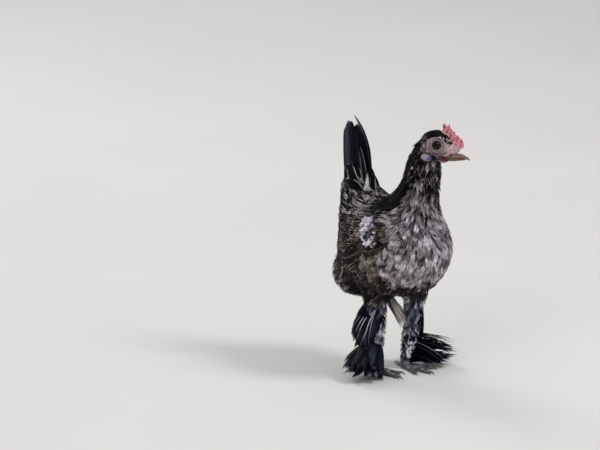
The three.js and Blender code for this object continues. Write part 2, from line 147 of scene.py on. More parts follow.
def tube(*stations):
    """A round limb through stations of (x, y, z, radius)."""

    def field(p):
        nearest = np.full(len(p), np.inf)
        for a, b in zip(stations, stations[1:]):
            start, way = np.array(a[:3], float), np.subtract(b[:3], a[:3]).astype(float)
            t = np.clip((p - start) @ way / (way @ way), 0, 1)
            away = np.linalg.norm(p - start - t[:, None] * way, axis=1)
            nearest = np.minimum(nearest, away - mix(a[3], b[3], t))
        return nearest

    return field


def smooth_min(a, b, soft):
    """The lower of a and b, rounded off where they are less than soft apart."""
    h = np.maximum(soft - np.abs(a - b), 0) / soft
    return np.minimum(a, b) - h * h * soft / 4


def melt(soft, *fields):
    """Several forms run together, with hollows about soft deep filled where they meet."""

    def field(p):
        out = fields[0](p)
        for other in fields[1:]:
            out = smooth_min(out, other(p), soft)
        return out

    return field


def local(matrix, p):
    """Points p in the frame whose pose is matrix."""
    inverse = np.linalg.inv(matrix)
    return p @ inverse[:3, :3].T + inverse[:3, 3]


def world(matrix, p):
    """Points p given in the frame whose pose is matrix, in the hen's."""
    return p @ matrix[:3, :3].T + matrix[:3, 3]


def folded_in(matrix, p):
    """Points p in the frame whose pose is matrix, and the same with her two sides folded together."""
    q = local(matrix, p)
    return q, np.c_[np.abs(q[:, 0]), q[:, 1:]]


def posed(field, matrix):
    return lambda p: field(local(matrix, p))


def pose(centre, *turns):
    """The matrix of a place and of turns of (axis, degrees) about it."""
    out = Matrix.Translation(Vector(centre))
    for axis, degrees in turns:
        out = out @ Matrix.Rotation(math.radians(degrees), 4, axis)
    return np.array(out)


def gradient(field, p, step=0.05):
    """The field's value at points p, and its slope there."""
    here = field(p)
    slope = np.stack([(field(p + step * np.eye(3)[k]) - here) / step for k in range(3)], 1)
    return here, slope


def onto(field, p, level=0.0, steps=2, reach=4.0):
    """Points p moved onto the level surface of field, and the outward normals there."""
    for _ in range(steps):
        here, slope = gradient(field, p)
        steep = np.maximum((slope**2).sum(1), 0.05)
        move = ((level - here) / steep)[:, None] * slope
        size = np.linalg.norm(move, axis=1, keepdims=True)
        p = p + move * np.minimum(1, reach / np.maximum(size, 1e-9))
    return p, unit(gradient(field, p)[1])


# ---------------------------------------------------------------- the hen's forms
HEAD = pose(HEAD_CENTRE, ("Z", HEAD_TURN), ("X", HEAD_NOD))
head_core = melt(
    6,
    ellipsoid([0, -2, 0.9], [11.6, 14.6, 12.3], -34),
    ellipsoid([0, -9, -3], [9.4, 13.5, 10.6], 12),
    ellipsoid([0, 2, -10], [9.8, 15.5, 8.8], -22),
    tube([0, -12, -4, 7], [0, -23, -3.4, 4.2], [0, -28.5, -1.4, 3.2]),
    tube([0, -6, 9.2, 7.2], [0, -15, 7.2, 6.2], [0, -21.5, 3.2, 4.8]),
    tube([0, 8, -9, 9], [0, 14, -22, 10]),
)
head_form = posed(head_core, HEAD)
neck_form = melt(
    10,
    tube([0, -17, 156, 37], [0, -36.5, 186, 28.5], [0, -44.5, 208, 22], [1, -49, 230, 16.8]),
    tube([1, -49, 230, 16.8], [-1, -57, 250, 12.5]),
)
trunk_form = melt(
    16,
    ellipsoid([0, -28, 142], [TRUNK_HALF_WIDTH, 49, 49], 10),
    ellipsoid([0, 8, 140], [TRUNK_HALF_WIDTH - 1, 52, BACK_HEIGHT - 140]),
    ellipsoid([0, -4, BELLY_HEIGHT + 28], [38, 50, 26]),
    ellipsoid([0, 41, 98], [28, 28, 18], -24),
    tube([0, 16, 158, 28], [0, 36, 176, 25], [0, 47, 196, 17.5]),
    tube([0, 45, 180, 17], [0, 50, 132, 18], [0, 48, 100, 21]),
)
body_form = melt(8, melt(14, trunk_form, neck_form), head_form)
WING = {"centre": (40, -4, 149), "half": (9, 34, 29), "yaw": 9, "roll": 13, "dip": -9}


def wing_pose(sign):
    x, y, z = WING["centre"]
    return pose((sign * x, y, z), ("Z", sign * WING["yaw"]), ("Y", -sign * WING["roll"]), ("X", WING["dip"]))


def wing_form(sign):
    """The folded wing, as a swelling on her side."""
    hx, hy, hz = WING["half"]
    return posed(
        melt(8, ellipsoid([0, -5, 2], [hx, hy - 6, hz]), ellipsoid([0, 17, -5], [hx - 2, hy - 14, hz - 12])),
        wing_pose(sign),
    )


def leg_of(name):
    """The places of a leg's joints."""
    sign = SIDES[name]
    foot = np.array([sign * FOOT_HALF, FOOT_Y[name], ANKLE_HEIGHT], float)
    hock = np.array([sign * HOCK_HALF, foot[1] - HOCK_AHEAD, HOCK_HEIGHT], float)
    hip = np.array([sign * HIP_HALF_WIDTH, hock[1] + 1, BELLY_HEIGHT + 20], float)
    return {"sign": sign, "foot": foot, "hock": hock, "hip": hip}


LEGS = {name: leg_of(name) for name in SIDES}


def leg_form(leg):
    hip, hock, foot = leg["hip"], leg["hock"], leg["foot"]
    return melt(
        5,
        tube([*hip, 19], [*mix(hip, hock, 0.55), 14], [*hock, 9]),
        tube([*hock, 8.6], [*mix(hock, foot, 0.45), 8.8], [*foot, 5.4]),
    )


leg_forms = [leg_form(leg) for leg in LEGS.values()]
wing_forms = [wing_form(sign) for sign in SIDES.values()]
coat_form = melt(9, melt(20, body_form, *wing_forms), *leg_forms)

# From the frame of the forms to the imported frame, by where the left eye is in each.
SHIFT = np.array(sum(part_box("eye_left"), Vector()) / 2 / MM - Vector(world(HEAD, np.array([EYE_CENTRE]))[0]))


def metres(p):
    return (p + SHIFT) * MM


# ---------------------------------------------------------------- where things are on her
def on_head(p):
    """Head coordinates with the side folded, so both sides read alike: out, forward, up from the eye."""
    q = local(HEAD, p)
    return np.abs(q[:, 0]), EYE_CENTRE[1] - q[:, 1], q[:, 2] - EYE_CENTRE[2]


# The bare face lies between these lines, each of (ahead of the eye, up from it).
BROW_LINE = [
    (-18, -3), (-14.6, 1.2), (-10.8, 5), (-6, 8), (2, 9.8),
    (7, 8.6), (11, 6.8), (15.5, 3.4), (17, 6), (19, 20),
]  # fmt: skip
JAW_LINE = [(-18, -7), (-12, -9.6), (-5, -10), (0, -10.8), (2.4, -13.6), (12, -17), (40, -18)]


def bareness(p):
    """1 on the bare face, 0 where feathers grow."""
    out, ahead, up = on_head(p)
    under_brow = ramp(np.interp(ahead, *np.transpose(BROW_LINE)) - up, -0.8, 0.8)
    over_jaw = ramp(up - np.interp(ahead, *np.transpose(JAW_LINE)), -0.8, 0.8)
    side = np.maximum(ramp(out, 2.5, 4.5), ramp(ahead, 15, 18))
    return under_brow * over_jaw * ramp(ahead, -17.4, -15.2) * side


def coat_depth(p):
    """How far the skin lies inside the tips of the feathers."""
    z = p[:, 2]
    depth = mix(3.0, 7.0, ramp(-z, -238, -170))
    depth = np.where(z > 236, mix(3.0, 1.2, ramp(z, 236, 254)), depth)
    depth = mix(2.6, depth, ramp(z, 40, 84))
    return depth * (1 - bareness(p)) + 0.1


# ---------------------------------------------------------------- surfaces
def spaced(*stops):
    """Grid lines through stops of (place, cell), each stretch with its own cell."""
    lines = [stops[0][0]]
    for (start, cell), (end, _) in zip(stops, stops[1:]):
        count = max(1, round((end - start) / cell))
        lines.extend(start + (end - start) * (k + 1) / count for k in range(count))
    return np.array(lines, float)


def on_grid(field, axes, stride=4, steepest=1.7):
    """The field on a grid of lines, worked out in full only near its surface."""
    coarse = [np.unique(np.append(np.arange(0, len(a), stride), len(a) - 1)) for a in axes]
    few = np.stack(np.meshgrid(*(a[c] for a, c in zip(axes, coarse)), indexing="ij"), -1)
    rough = field(few.reshape(-1, 3)).reshape(few.shape[:3])
    near = [np.abs(a[:, None] - a[c][None]).argmin(1) for a, c in zip(axes, coarse)]
    value = rough[np.ix_(*near)]
    away = [np.abs(a - a[c][n]) for a, c, n in zip(axes, coarse, near)]
    reach = np.sqrt(away[0][:, None, None] ** 2 + away[1][None, :, None] ** 2 + away[2][None, None, :] ** 2)
    at = np.nonzero(np.abs(value) < steepest * reach + 2)
    value[at] = field(np.stack([a[k] for a, k in zip(axes, at)], 1))
    return value


def net(field, axes):
    """Surface nets: one vertex in each cell that the surface crosses, as points and quads."""
    value = on_grid(field, axes)
    count = np.array(value.shape)
    inside = value < 0
    spans = [tuple(slice(b, count[k] - 1 + b) for k, b in enumerate(bits)) for bits in np.ndindex(2, 2, 2)]
    filled = sum(inside[span].astype(int) for span in spans)
    cells = np.argwhere((filled > 0) & (filled < 8))
    total, hits = np.zeros((len(cells), 3)), np.zeros(len(cells))
    for bits in np.ndindex(2, 2, 2):
        for axis in range(3):
            if bits[axis]:
                continue
            a = cells + bits
            b = a + np.eye(3, dtype=int)[axis]
            va, vb = value[tuple(a.T)], value[tuple(b.T)]
            cross = (va < 0) != (vb < 0)
            t = np.where(cross, va / np.where(cross, va - vb, 1), 0)
            start = np.stack([axes[k][a[:, k]] for k in range(3)], 1)
            end = np.stack([axes[k][b[:, k]] for k in range(3)], 1)
            total += mix(start, end, t[:, None]) * cross[:, None]
            hits += cross
    number = np.full(count, -1)
    number[tuple(cells.T)] = np.arange(len(cells))
    quads = []
    for axis in range(3):
        step, u, v = (np.eye(3, dtype=int)[(axis + k) % 3] for k in range(3))
        here = tuple(slice(1, count[k] - 1) for k in range(3))
        ahead = tuple(slice(1 + step[k], count[k] - 1 + step[k]) for k in range(3))
        at = np.argwhere(inside[here] != inside[ahead]) + 1
        around = [at - a * u - b * v for a, b in ((0, 0), (1, 0), (1, 1), (0, 1))]
        ring = np.stack([number[tuple(corner.T)] for corner in around], 1)
        outward = inside[tuple(at.T)]
        ring[~outward] = ring[~outward][:, ::-1]
        quads.append(ring)
    return total / hits[:, None], np.concatenate(quads)


def make_mesh(name, points, *face_sets):
    """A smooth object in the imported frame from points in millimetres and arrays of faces."""
    mesh = bpy.data.meshes.new(name)
    mesh.vertices.add(len(points))
    mesh.vertices.foreach_set("co", metres(points).astype(np.float32).ravel())
    sizes = np.concatenate([np.full(len(f), np.shape(f)[1]) for f in face_sets])
    corners = np.concatenate([np.asarray(f, np.int32).ravel() for f in face_sets])
    mesh.loops.add(len(corners))
    mesh.loops.foreach_set("vertex_index", corners.astype(np.int32))
    mesh.polygons.add(len(sizes))
    mesh.polygons.foreach_set("loop_start", (np.cumsum(sizes) - sizes).astype(np.int32))
    mesh.update(calc_edges=True)
    mesh.polygons.foreach_set("use_smooth", np.ones(len(mesh.polygons), bool))
    obj = bpy.data.objects.new(name, mesh)
    bpy.context.scene.collection.objects.link(obj)
    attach(obj, "root")
    return obj


def paint(obj, name, values):
    """A colour for each vertex, from plain RGB in 0..1, linear."""
    layer = obj.data.attributes.new(name, "FLOAT_COLOR", "POINT")
    layer.data.foreach_set("color", np.c_[values, np.ones(len(values))].astype(np.float32).ravel())


def lin(*rgb):
    """A colour as a screen shows it, 0 to 255, in linear light."""
    c = np.array(rgb, float) / 255
    return np.where(c <= 0.04045, c / 12.92, ((c + 0.055) / 1.055) ** 2.4)


def tube_faces(rings, around):
    """Quads between rings of points, and fans that close them on two end points listed after the rings."""
    ring = np.arange(around)
    turn = (ring + 1) % around
    start = np.arange(rings - 1)[:, None] * around
    a, b = (start + ring).ravel(), (start + turn).ravel()
    first, top = rings * around, (rings - 1) * around
    near = np.stack([np.full(around, first), turn, ring], 1)
    far = np.stack([np.full(around, first + 1), top + ring, top + turn], 1)
    return np.stack([a, b, b + around, a + around], 1), np.concatenate([near, far])


def swept(name, path, across, deep, matrix=None, around=20, flat=0.0):
    """A closed tapering form along a path: across is its half width, deep its half depth, at each station."""
    path, across, deep = (np.asarray(v, float) for v in (path, across, deep))
    way = unit(np.gradient(path, axis=0))
    side = unit(np.cross(way, [0, 0, 1.0]) + [1e-6, 0, 0])
    up = np.cross(side, way)
    angle = np.arange(around) * 2 * math.pi / around
    high = np.where(np.sin(angle) < 0, (1 - flat) * np.sin(angle), np.sin(angle))
    rings = (
        path[:, None]
        + side[:, None] * (across[:, None] * np.cos(angle))[..., None]
        + up[:, None] * (deep[:, None] * high)[..., None]
    )
    points = np.concatenate([rings.reshape(-1, 3), path[:1], path[-1:]])
    if matrix is not None:
        points = world(matrix, points)
    return make_mesh(name, points, *tube_faces(len(path), around))


def curve(points, count):
    """A smooth line through points, as count stations (Catmull-Rom)."""
    points = np.asarray(points, float)
    padded = np.concatenate([2 * points[:1] - points[1:2], points, 2 * points[-1:] - points[-2:-1]])
    t = np.linspace(0, len(points) - 1, count)
    k = np.minimum(t.astype(int), len(points) - 2)
    f = (t - k)[:, None]
    p0, p1, p2, p3 = (padded[k + n] for n in range(4))
    return 0.5 * (
        2 * p1 + (p2 - p0) * f + (2 * p0 - 5 * p1 + 4 * p2 - p3) * f**2 + (3 * p1 - p0 - 3 * p2 + p3) * f**3
    )


# ---------------------------------------------------------------- head details, in the head's own frame
EYE_AXIS = unit(np.array([0.95, -0.27, 0.1]))
LID_RADIUS = 4.7
LID_AHEAD = 2.7
LID_THICK = 0.8
COMB_OUTLINE = [  # along and up: round its points from the front, then back along the skull
    (-35, 2.4), (-35.2, 5), (-33.8, 8.6), (-31.4, 12), (-29.6, 11.8), (-27.6, 14.8), (-25.2, 14.6),
    (-23.8, 18.4), (-21.4, 18), (-20, 21.6), (-18.6, 20.8), (-17, 25.4), (-14.5, 22), (-12.6, 25.4),
    (-9.6, 24), (-10, 19), (-9, 14), (-13, 9), (-20, 4.5), (-25, 0.5), (-30.5, -0.6),
]  # fmt: skip
MOUTH = ((-22, -10.6), (-11.5, -10))


def outline_field(outline, p):
    """How far 2-D points p lie outside a closed outline."""
    a = np.array(outline, float)
    b = np.roll(a, -1, axis=0)
    nearest = np.full(len(p), np.inf)
    inside = np.zeros(len(p), bool)
    for start, end in zip(a, b):
        way = end - start
        t = np.clip((p - start) @ way / (way @ way), 0, 1)
        nearest = np.minimum(nearest, np.linalg.norm(p - start - t[:, None] * way, axis=1))
        crosses = (start[1] > p[:, 1]) != (end[1] > p[:, 1])
        rise = way[1] if way[1] else 1e-9
        inside ^= crosses & (p[:, 0] < start[0] + way[0] * (p[:, 1] - start[1]) / rise)
    return np.where(inside, -nearest, nearest)


def ripple(p, size, seed):
    """Soft unevenness between about -1 and 1, with humps about size across."""
    rng = np.random.default_rng(seed)
    waves = unit(rng.normal(size=(9, 3))) * 2 * math.pi / size * rng.uniform(0.7, 1.4, (9, 1))
    return np.sin(p @ waves.T + rng.uniform(0, 6.28, 9)).mean(1) * 1.8


def comb_field(q):
    """A single comb: a thin waved blade with an uneven edge and grain."""
    thick = mix(2.0, 0.9, ramp(q[:, 2] + 0.35 * q[:, 1], -10, 20))
    thick = thick + 0.32 * ripple(q, 3.6, 5) + 0.22 * ripple(q, 1.7, 7)
    bend = 0.7 * np.sin(q[:, 1] * 0.33) * ramp(q[:, 2], 4, 20)
    flat = outline_field(COMB_OUTLINE, q[:, 1:]) + 1.0 + 0.25 * ripple(q, 2.2, 6)
    slab = np.abs(q[:, 0] - bend) - thick + 1.0
    outside = np.hypot(np.maximum(flat, 0), np.maximum(slab, 0))
    return outside + np.minimum(np.maximum(flat, slab), 0) - 1.0


wattle = ellipsoid([5, -15.8, -13.6], [2.1, 5.8, 2.9], 8)
lobe = ellipsoid([11.2, 1.2, -12.2], [2.8, 5.8, 3.5], -14)


def round_the_eye(q):
    """Distance from the pupil's axis and the angle about it, 0 ahead and 90 up, in the side's own plane."""
    ahead, up = PUPIL[0] - q[:, 1], q[:, 2] - PUPIL[1]
    front = np.maximum(ahead, 0)
    return np.hypot(ahead - 0.24 * front, up + 0.28 * front), np.degrees(np.arctan2(up, ahead))


PUPIL = (-8.2, 2.5)  # where the eye's axis meets its surface, seen from the side
DEPTH, FOLD_PAINTED_LIGHT = 4, 5  # where a fold's row has its depth or height, and its painted shade or highlight
EYE_FOLDS = [  # radius, half width, first and last angle, depth or height, painted shade (below 0) or highlight (above 0)
    (6.8, 0.45, 25, 120, 0.4, -1.0),
    (8.0, 0.6, 5, 165, -0.4, 0.8),
    (6.5, 0.4, -140, -25, 0.2, -0.5),
    (7.3, 0.45, -130, -22, -0.3, 0.9),
    (8.2, 0.5, -125, -30, 0.5, -1.1),
]
CHEEK_FOLDS = [  # ahead of the eye and above it, half sizes, lean, depth or height, painted shade (below 0) or highlight (above 0)
    (-8.6, 1.2, 1.1, 4.6, 4, -0.4, 0.7),
    (-10.6, 0.4, 0.6, 3.6, 10, 0.5, -1.1),
    (-12.6, -2.0, 1.3, 1.7, 10, -0.5, 0.9),
    (-14.6, -3.6, 0.9, 1.5, -20, 0.4, -0.8),
    (-11.4, -5.6, 2.2, 0.7, -10, 0.5, -1.0),
    (-14.8, -5.8, 1.5, 1.0, 20, -0.4, 0.6),
    (-8.2, -6.4, 2.4, 0.9, -15, -0.3, 0.5),
    (-6.6, -8.4, 3.2, 0.6, -8, 0.4, -0.9),
]


def eye_folds(q, which):
    """The sum of the folds round the eye and on the cheek, by their DEPTH or by their painted shade and
    highlight.
    """
    distance, angle = round_the_eye(q)
    distance = distance + 0.3 * np.sin(np.radians(angle) * 2 + 1) + 0.45 * ripple(q, 4, 61)
    total = 0
    for fold in EYE_FOLDS:
        span = within(angle, fold[2], fold[3], 12)
        total = total + fold[which] * span * bump((distance - fold[0]) / fold[1])
    total = total * (0.85 + 0.6 * ripple(q, 3, 62))
    ahead, up = EYE_CENTRE[1] - q[:, 1], q[:, 2] - EYE_CENTRE[2]
    for fold in CHEEK_FOLDS:
        c, s = math.cos(math.radians(fold[4])), math.sin(math.radians(fold[4]))
        a, b = ahead - fold[0] + 0.4 * ripple(q, 3, 63), up - fold[1]
        total = total + fold[which + 1] * bump((c * a + s * b) / fold[2], (c * b - s * a) / fold[3])
    return total


def gape_distance(q):
    """How far points are from the corner line of the mouth, seen from the side."""
    start, end = np.array(MOUTH[0]), np.array(MOUTH[1])
    way = end - start
    t = np.clip((q[:, 1:] - start) @ way / (way @ way), 0, 1)
    return np.linalg.norm(q[:, 1:] - start - t[:, None] * way, axis=1)


def face_relief(q):
    """How far the face is pushed in, or out where below 0. q has its side folded to x > 0."""
    distance, _ = round_the_eye(q)
    dent = 1.0 * bump(distance / 6.0) + eye_folds(q, DEPTH)
    dent -= 0.35 * bump((q[:, 1] + 19) / 2.2, (q[:, 2] + 1) / 4)
    dent += 0.8 * bump(gape_distance(q) / 0.8) - 0.4 * bump((gape_distance(q) - 1.9) / 0.9)
    return dent * ramp(q[:, 0], 2, 5)


def with_face(p, value):
    """The head's bare parts melted into the field value at points p near the head."""
    q, folded = folded_in(HEAD, p)
    pores = 0.09 * ripple(q, 1.7, 3) + 0.1 * ripple(q, 3.4, 4)
    value = value + (face_relief(folded) + pores) * ramp(bareness(p), 0, 0.6)
    offset = folded - EYE_CENTRE
    ahead = offset @ EYE_AXIS
    aside = np.linalg.norm(offset - ahead[:, None] * EYE_AXIS, axis=1)
    lid = np.hypot(aside - LID_RADIUS, (ahead - LID_AHEAD) * 1.2) - LID_THICK
    value = smooth_min(value, lid, 0.9)
    value = smooth_min(value, comb_field(q), 1.3)
    value = smooth_min(value, wattle(folded) + 0.12 * ripple(q, 2.2, 8), 1.6)
    value = smooth_min(value, lobe(folded) + 0.1 * ripple(q, 2.6, 9), 1.2)
    ball = np.linalg.norm(offset, axis=1) - EYE_RADIUS - 0.12
    return -smooth_min(-value, ball, 0.35)


# All that is finer than the coat's form lies between these corners.
HEAD_ZONE = (np.array([-26.0, -108, 226]), np.array([34.0, -34, 296]))


def skin_field(p):
    """Distance to the skin: deep under the feathers, bare on the face."""
    value = coat_form(p) + coat_depth(p)
    near = ((p > HEAD_ZONE[0]) & (p < HEAD_ZONE[1])).all(1)
    if near.any():
        value[near] = with_face(p[near], value[near])
    return value


# ---------------------------------------------------------------- materials
class Graph:
    """A small helper for writing shader nodes as formulas."""

    def __init__(self, name, roughness=0.6, **plain):
        self.material = bpy.data.materials.new(name)
        self.material.use_nodes = True
        self.tree = self.material.node_tree
        self.shader = self.tree.nodes["Principled BSDF"]
        self.set(self.shader, "Roughness", roughness)
        for socket, value in plain.items():
            self.set(self.shader, socket.replace("_", " "), value)

    def set(self, node, socket, value):
        target = node.inputs[socket]
        if isinstance(value, bpy.types.NodeSocket):
            self.tree.links.new(value, target)
        else:
            target.default_value = value

    def node(self, kind, inputs=(), output=0, **settings):
        node = self.tree.nodes.new(kind)
        for name, value in settings.items():
            setattr(node, name, value)
        for socket, value in dict(inputs).items():
            self.set(node, socket, value)
        return node.outputs[output]

    def math(self, operation, a, b=0.0, c=0.0, clamp=False):
        return self.node("ShaderNodeMath", {0: a, 1: b, 2: c}, operation=operation, use_clamp=clamp)

    def times(self, a, b):
        return self.math("MULTIPLY", a, b)

    def line(self, value, slope, start, clamp=False):
        """value * slope + start."""
        return self.math("MULTIPLY_ADD", value, slope, start, clamp)

    def attribute(self, name, output="Vector"):
        return self.node("ShaderNodeAttribute", output=output, attribute_name=name)

    def split(self, vector):
        node = self.tree.nodes.new("ShaderNodeSeparateXYZ")
        self.set(node, 0, vector)
        return list(node.outputs)

    def join(self, x, y, z):
        return self.node("ShaderNodeCombineXYZ", {0: x, 1: y, 2: z})

    def ramp(self, value, low, high):
        """0 below low, 1 above high, smooth between; falls where high is under low."""
        start, end = (low, high) if low < high else (high, low)
        out = (0.0, 1.0) if low < high else (1.0, 0.0)
        return self.node(
            "ShaderNodeMapRange",
            {"Value": value, "From Min": start, "From Max": end, "To Min": out[0], "To Max": out[1]},
            interpolation_type="SMOOTHSTEP",
        )

    def mix(self, a, b, share, blend="MIX"):
        node = self.tree.nodes.new("ShaderNodeMix")
        node.data_type, node.blend_type = "RGBA", blend
        for socket, value in ((0, share), (6, a), (7, b)):
            if isinstance(value, bpy.types.NodeSocket):
                self.tree.links.new(value, node.inputs[socket])
            else:
                node.inputs[socket].default_value = value if socket == 0 else (*value, 1.0)
        return node.outputs[2]

    def toned(self, colour, tone):
        """A colour made darker below a tone of 1 and lighter above it."""
        return self.mix(colour, self.join(tone, tone, tone), 1.0, "MULTIPLY")

    def noise(self, vector, scale, detail=2.0, rough=0.5):
        return self.node(
            "ShaderNodeTexNoise", {"Vector": vector, "Scale": scale, "Detail": detail, "Roughness": rough}
        )

    def place(self):
        return self.node("ShaderNodeTexCoord", output="Object")

    def finish(self, colour, height=None, depth=0.0005, strength=0.5):
        self.set(self.shader, "Base Color", colour)
        if height is not None:
            normal = self.node("ShaderNodeBump", {"Height": height, "Distance": depth, "Strength": strength})
            self.set(self.shader, "Normal", normal)
        return self.material


def plumage():
    """Reads each feather's own colours and marks; its place on the feather comes from the map FeatherUV."""
    g = Graph("plumage", roughness=0.6, Specular_IOR_Level=0.08)
    x, along, _ = g.split(g.node("ShaderNodeUVMap", uv_map="FeatherUV"))
    across = g.math("ABSOLUTE", g.line(x, 2.0, -1.0))
    lace, shaft, fleck = g.split(g.attribute("Look"))
    pencil, seed, fine = g.split(g.attribute("More"))
    far = g.times(seed, 37.0)
    slant = g.times(g.math("SUBTRACT", along, g.times(across, 0.35)), 24.0)
    barbs = g.noise(g.join(slant, g.times(x, 3.0), far), 1.0)
    cloud = g.noise(g.join(g.times(along, 3.0), g.times(x, 2.5), far), 1.0, 1.0)
    tip = g.line(along, 3.4, -2.4, clamp=True)
    rim = g.math("MAXIMUM", across, tip)
    wobble = g.math("DIVIDE", g.line(barbs, 0.4, -0.2), g.math("ADD", fine, 1.0))
    edge = g.math("SUBTRACT", g.math("ADD", rim, wobble), g.times(fine, 0.16))
    laced = g.times(g.ramp(edge, 0.58, 0.8), lace)
    line = g.times(g.ramp(across, 0.16, 0.05), shaft)
    lean = g.line(across, 1.25, g.times(g.math("ABSOLUTE", g.math("SUBTRACT", along, 0.68)), 0.9))
    lean = g.math("ADD", lean, g.math("ADD", wobble, g.line(cloud, 0.9, -0.45)))
    spot = g.times(g.ramp(lean, 0.62, 0.36), fleck)
    rings = g.math("SINE", g.line(g.math("ADD", rim, wobble), 13.0, -1.2))
    pencilled = g.times(g.ramp(rings, 0.1, 0.8), pencil)
    marked = g.math("MAXIMUM", g.math("MAXIMUM", laced, line), g.math("MAXIMUM", spot, pencilled))
    shadow = g.line(g.ramp(across, 0.55, 1.0), -0.45, 1.0)
    base = g.toned(g.attribute("Base", "Color"), shadow)
    colour = g.mix(base, g.attribute("Mark", "Color"), marked)
    shaded_root = g.line(g.ramp(along, 0.15, 0.75), 0.6, 0.4)
    light = g.times(g.times(g.line(barbs, 0.7, 0.65), g.line(cloud, 0.5, 0.75)), shaded_root)
    return g.finish(g.toned(colour, light), barbs, 0.0002, 0.4)


def bare_skin():
    """The face, comb, wattles and ear lobes in their Tint, with fine grain."""
    g = Graph("skin", roughness=0.5, Specular_IOR_Level=0.35, Subsurface_Weight=0.08, Subsurface_Scale=0.002)
    place = g.place()
    broad = g.noise(place, 260.0, 3.0, 0.6)
    fine = g.noise(place, 1500.0, 3.0, 0.6)
    tone = g.times(g.line(broad, 0.5, 0.75), g.line(fine, 0.4, 0.8))
    colour = g.toned(g.attribute("Tint", "Color"), tone)
    return g.finish(colour, fine, 0.0004, 0.7)


def horn(name, light, dark, roughness=0.38):
    """Beak and claw: streaked along its length, darker in its Tint."""
    g = Graph(name, roughness=roughness, Specular_IOR_Level=0.5)
    place = g.place()
    streak = g.noise(place, 420.0, 4.0, 0.65)
    patch = g.noise(place, 120.0, 2.0)
    share = g.line(patch, 0.7, g.line(streak, 0.6, -0.15), clamp=True)
    colour = g.mix(g.mix(light, dark, share), g.attribute("Tint", "Color"), 1.0, "MULTIPLY")
    return g.finish(colour, streak, 0.0003, 0.4)


def scales():
    """The skin of the toes: small plates, darker in the seams between them."""
    g = Graph("toe_scales", roughness=0.55, Specular_IOR_Level=0.35)
    place = g.place()
    cells = g.node("ShaderNodeTexVoronoi", {"Vector": place, "Scale": 650.0}, output="Distance")
    dirt = g.noise(place, 180.0, 3.0)
    tone = g.times(g.line(dirt, 0.7, 0.6), g.ramp(cells, 0.95, 0.25))
    grey = g.line(tone, 0.8, 0.3)
    colour = g.toned(g.attribute("Tint", "Color"), grey)
    return g.finish(colour, cells, 0.0004, 0.5)


def eyeball():
    """Pupil, iris and rim by how far each point is from the eye's axis, kept in Ring."""
    g = Graph("eye", roughness=0.02, Specular_IOR_Level=0.2)
    ring = g.attribute("Ring", "Fac")
    fibre = g.noise(g.place(), 900.0, 3.0)
    iris = g.mix(tuple(lin(20, 8, 8)), tuple(lin(38, 16, 13)), fibre)
    colour = g.mix(tuple(lin(5, 4, 5)), iris, g.ramp(ring, 0.5, 0.56))
    return g.finish(g.mix(colour, tuple(lin(24, 16, 14)), g.ramp(ring, 0.74, 0.84)))


PLUMAGE = plumage()
SKIN = bare_skin()
BEAK = horn("beak_horn", tuple(lin(148, 122, 102)), tuple(lin(66, 50, 42)))
CLAW = horn("claw_horn", tuple(lin(120, 112, 104)), tuple(lin(44, 38, 38)))
SCALES = scales()
EYE = eyeball()


def dressed(obj, material, slot, *nodes):
    """Gives an object its material and slot, and hides the nodes of the solids that it stands for."""
    obj.data.materials.append(material)
    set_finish(obj, slot)
    if nodes:
        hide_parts(*nodes)
    return obj


# ---------------------------------------------------------------- skin
SKIN_AXES = (  # grid lines across, along and up, closest round the head
    spaced((-72, 2.4), (-20, 0.6), (24, 2.4), (72, 0)),
    spaced((-104, 2.4), (-98, 0.6), (-46, 2.4), (80, 0)),
    spaced((2, 2.4), (238, 0.6), (292, 0)),
)
FLESH = ["head", "neck", "trunk", "rear_fluff", "saddle", "comb"]
FLESH += [f"{part}_{side}" for part in ("wing", "thigh", "shank", "wattle", "ear_lobe") for side in SIDES]


def face_tint(q, folded):
    """Grey behind, paler and pinker ahead, mottled by fine dark feathers, with painted shade in the dents of the
    folds and painted highlights on their ridges.
    """
    ahead = -q[:, 1]
    face = blend(lin(110, 93, 95), lin(182, 155, 156), ramp(ahead, 12, 24))
    face = blend(lin(86, 73, 76), face, ramp(ahead, -6, 2))
    face = face * (1 + 0.32 * ripple(q, 2.4, 22) + 0.36 * ripple(q, 1.2, 23))[:, None]
    face = blend(face, lin(52, 43, 46), 0.8 * ramp(-ahead, 2, 7) * ramp(ripple(q, 4.4, 25), -0.1, 0.5))
    jowl = ramp(-q[:, 2], 5.2, 7.4) * ramp(-ahead, -12, -8) * ramp(ripple(q, 2.6, 26), -1.1, 0.1)
    face = blend(face, lin(54, 46, 52), 0.7 * jowl)
    # painted shade in the dents of the folds, painted highlights on their ridges
    painted_fold_light = eye_folds(folded, FOLD_PAINTED_LIGHT)
    face = blend(face, lin(192, 174, 178), 0.75 * np.clip(painted_fold_light, 0, 1))
    return blend(face, lin(30, 21, 24), np.clip(-1.2 * painted_fold_light, 0, 1))


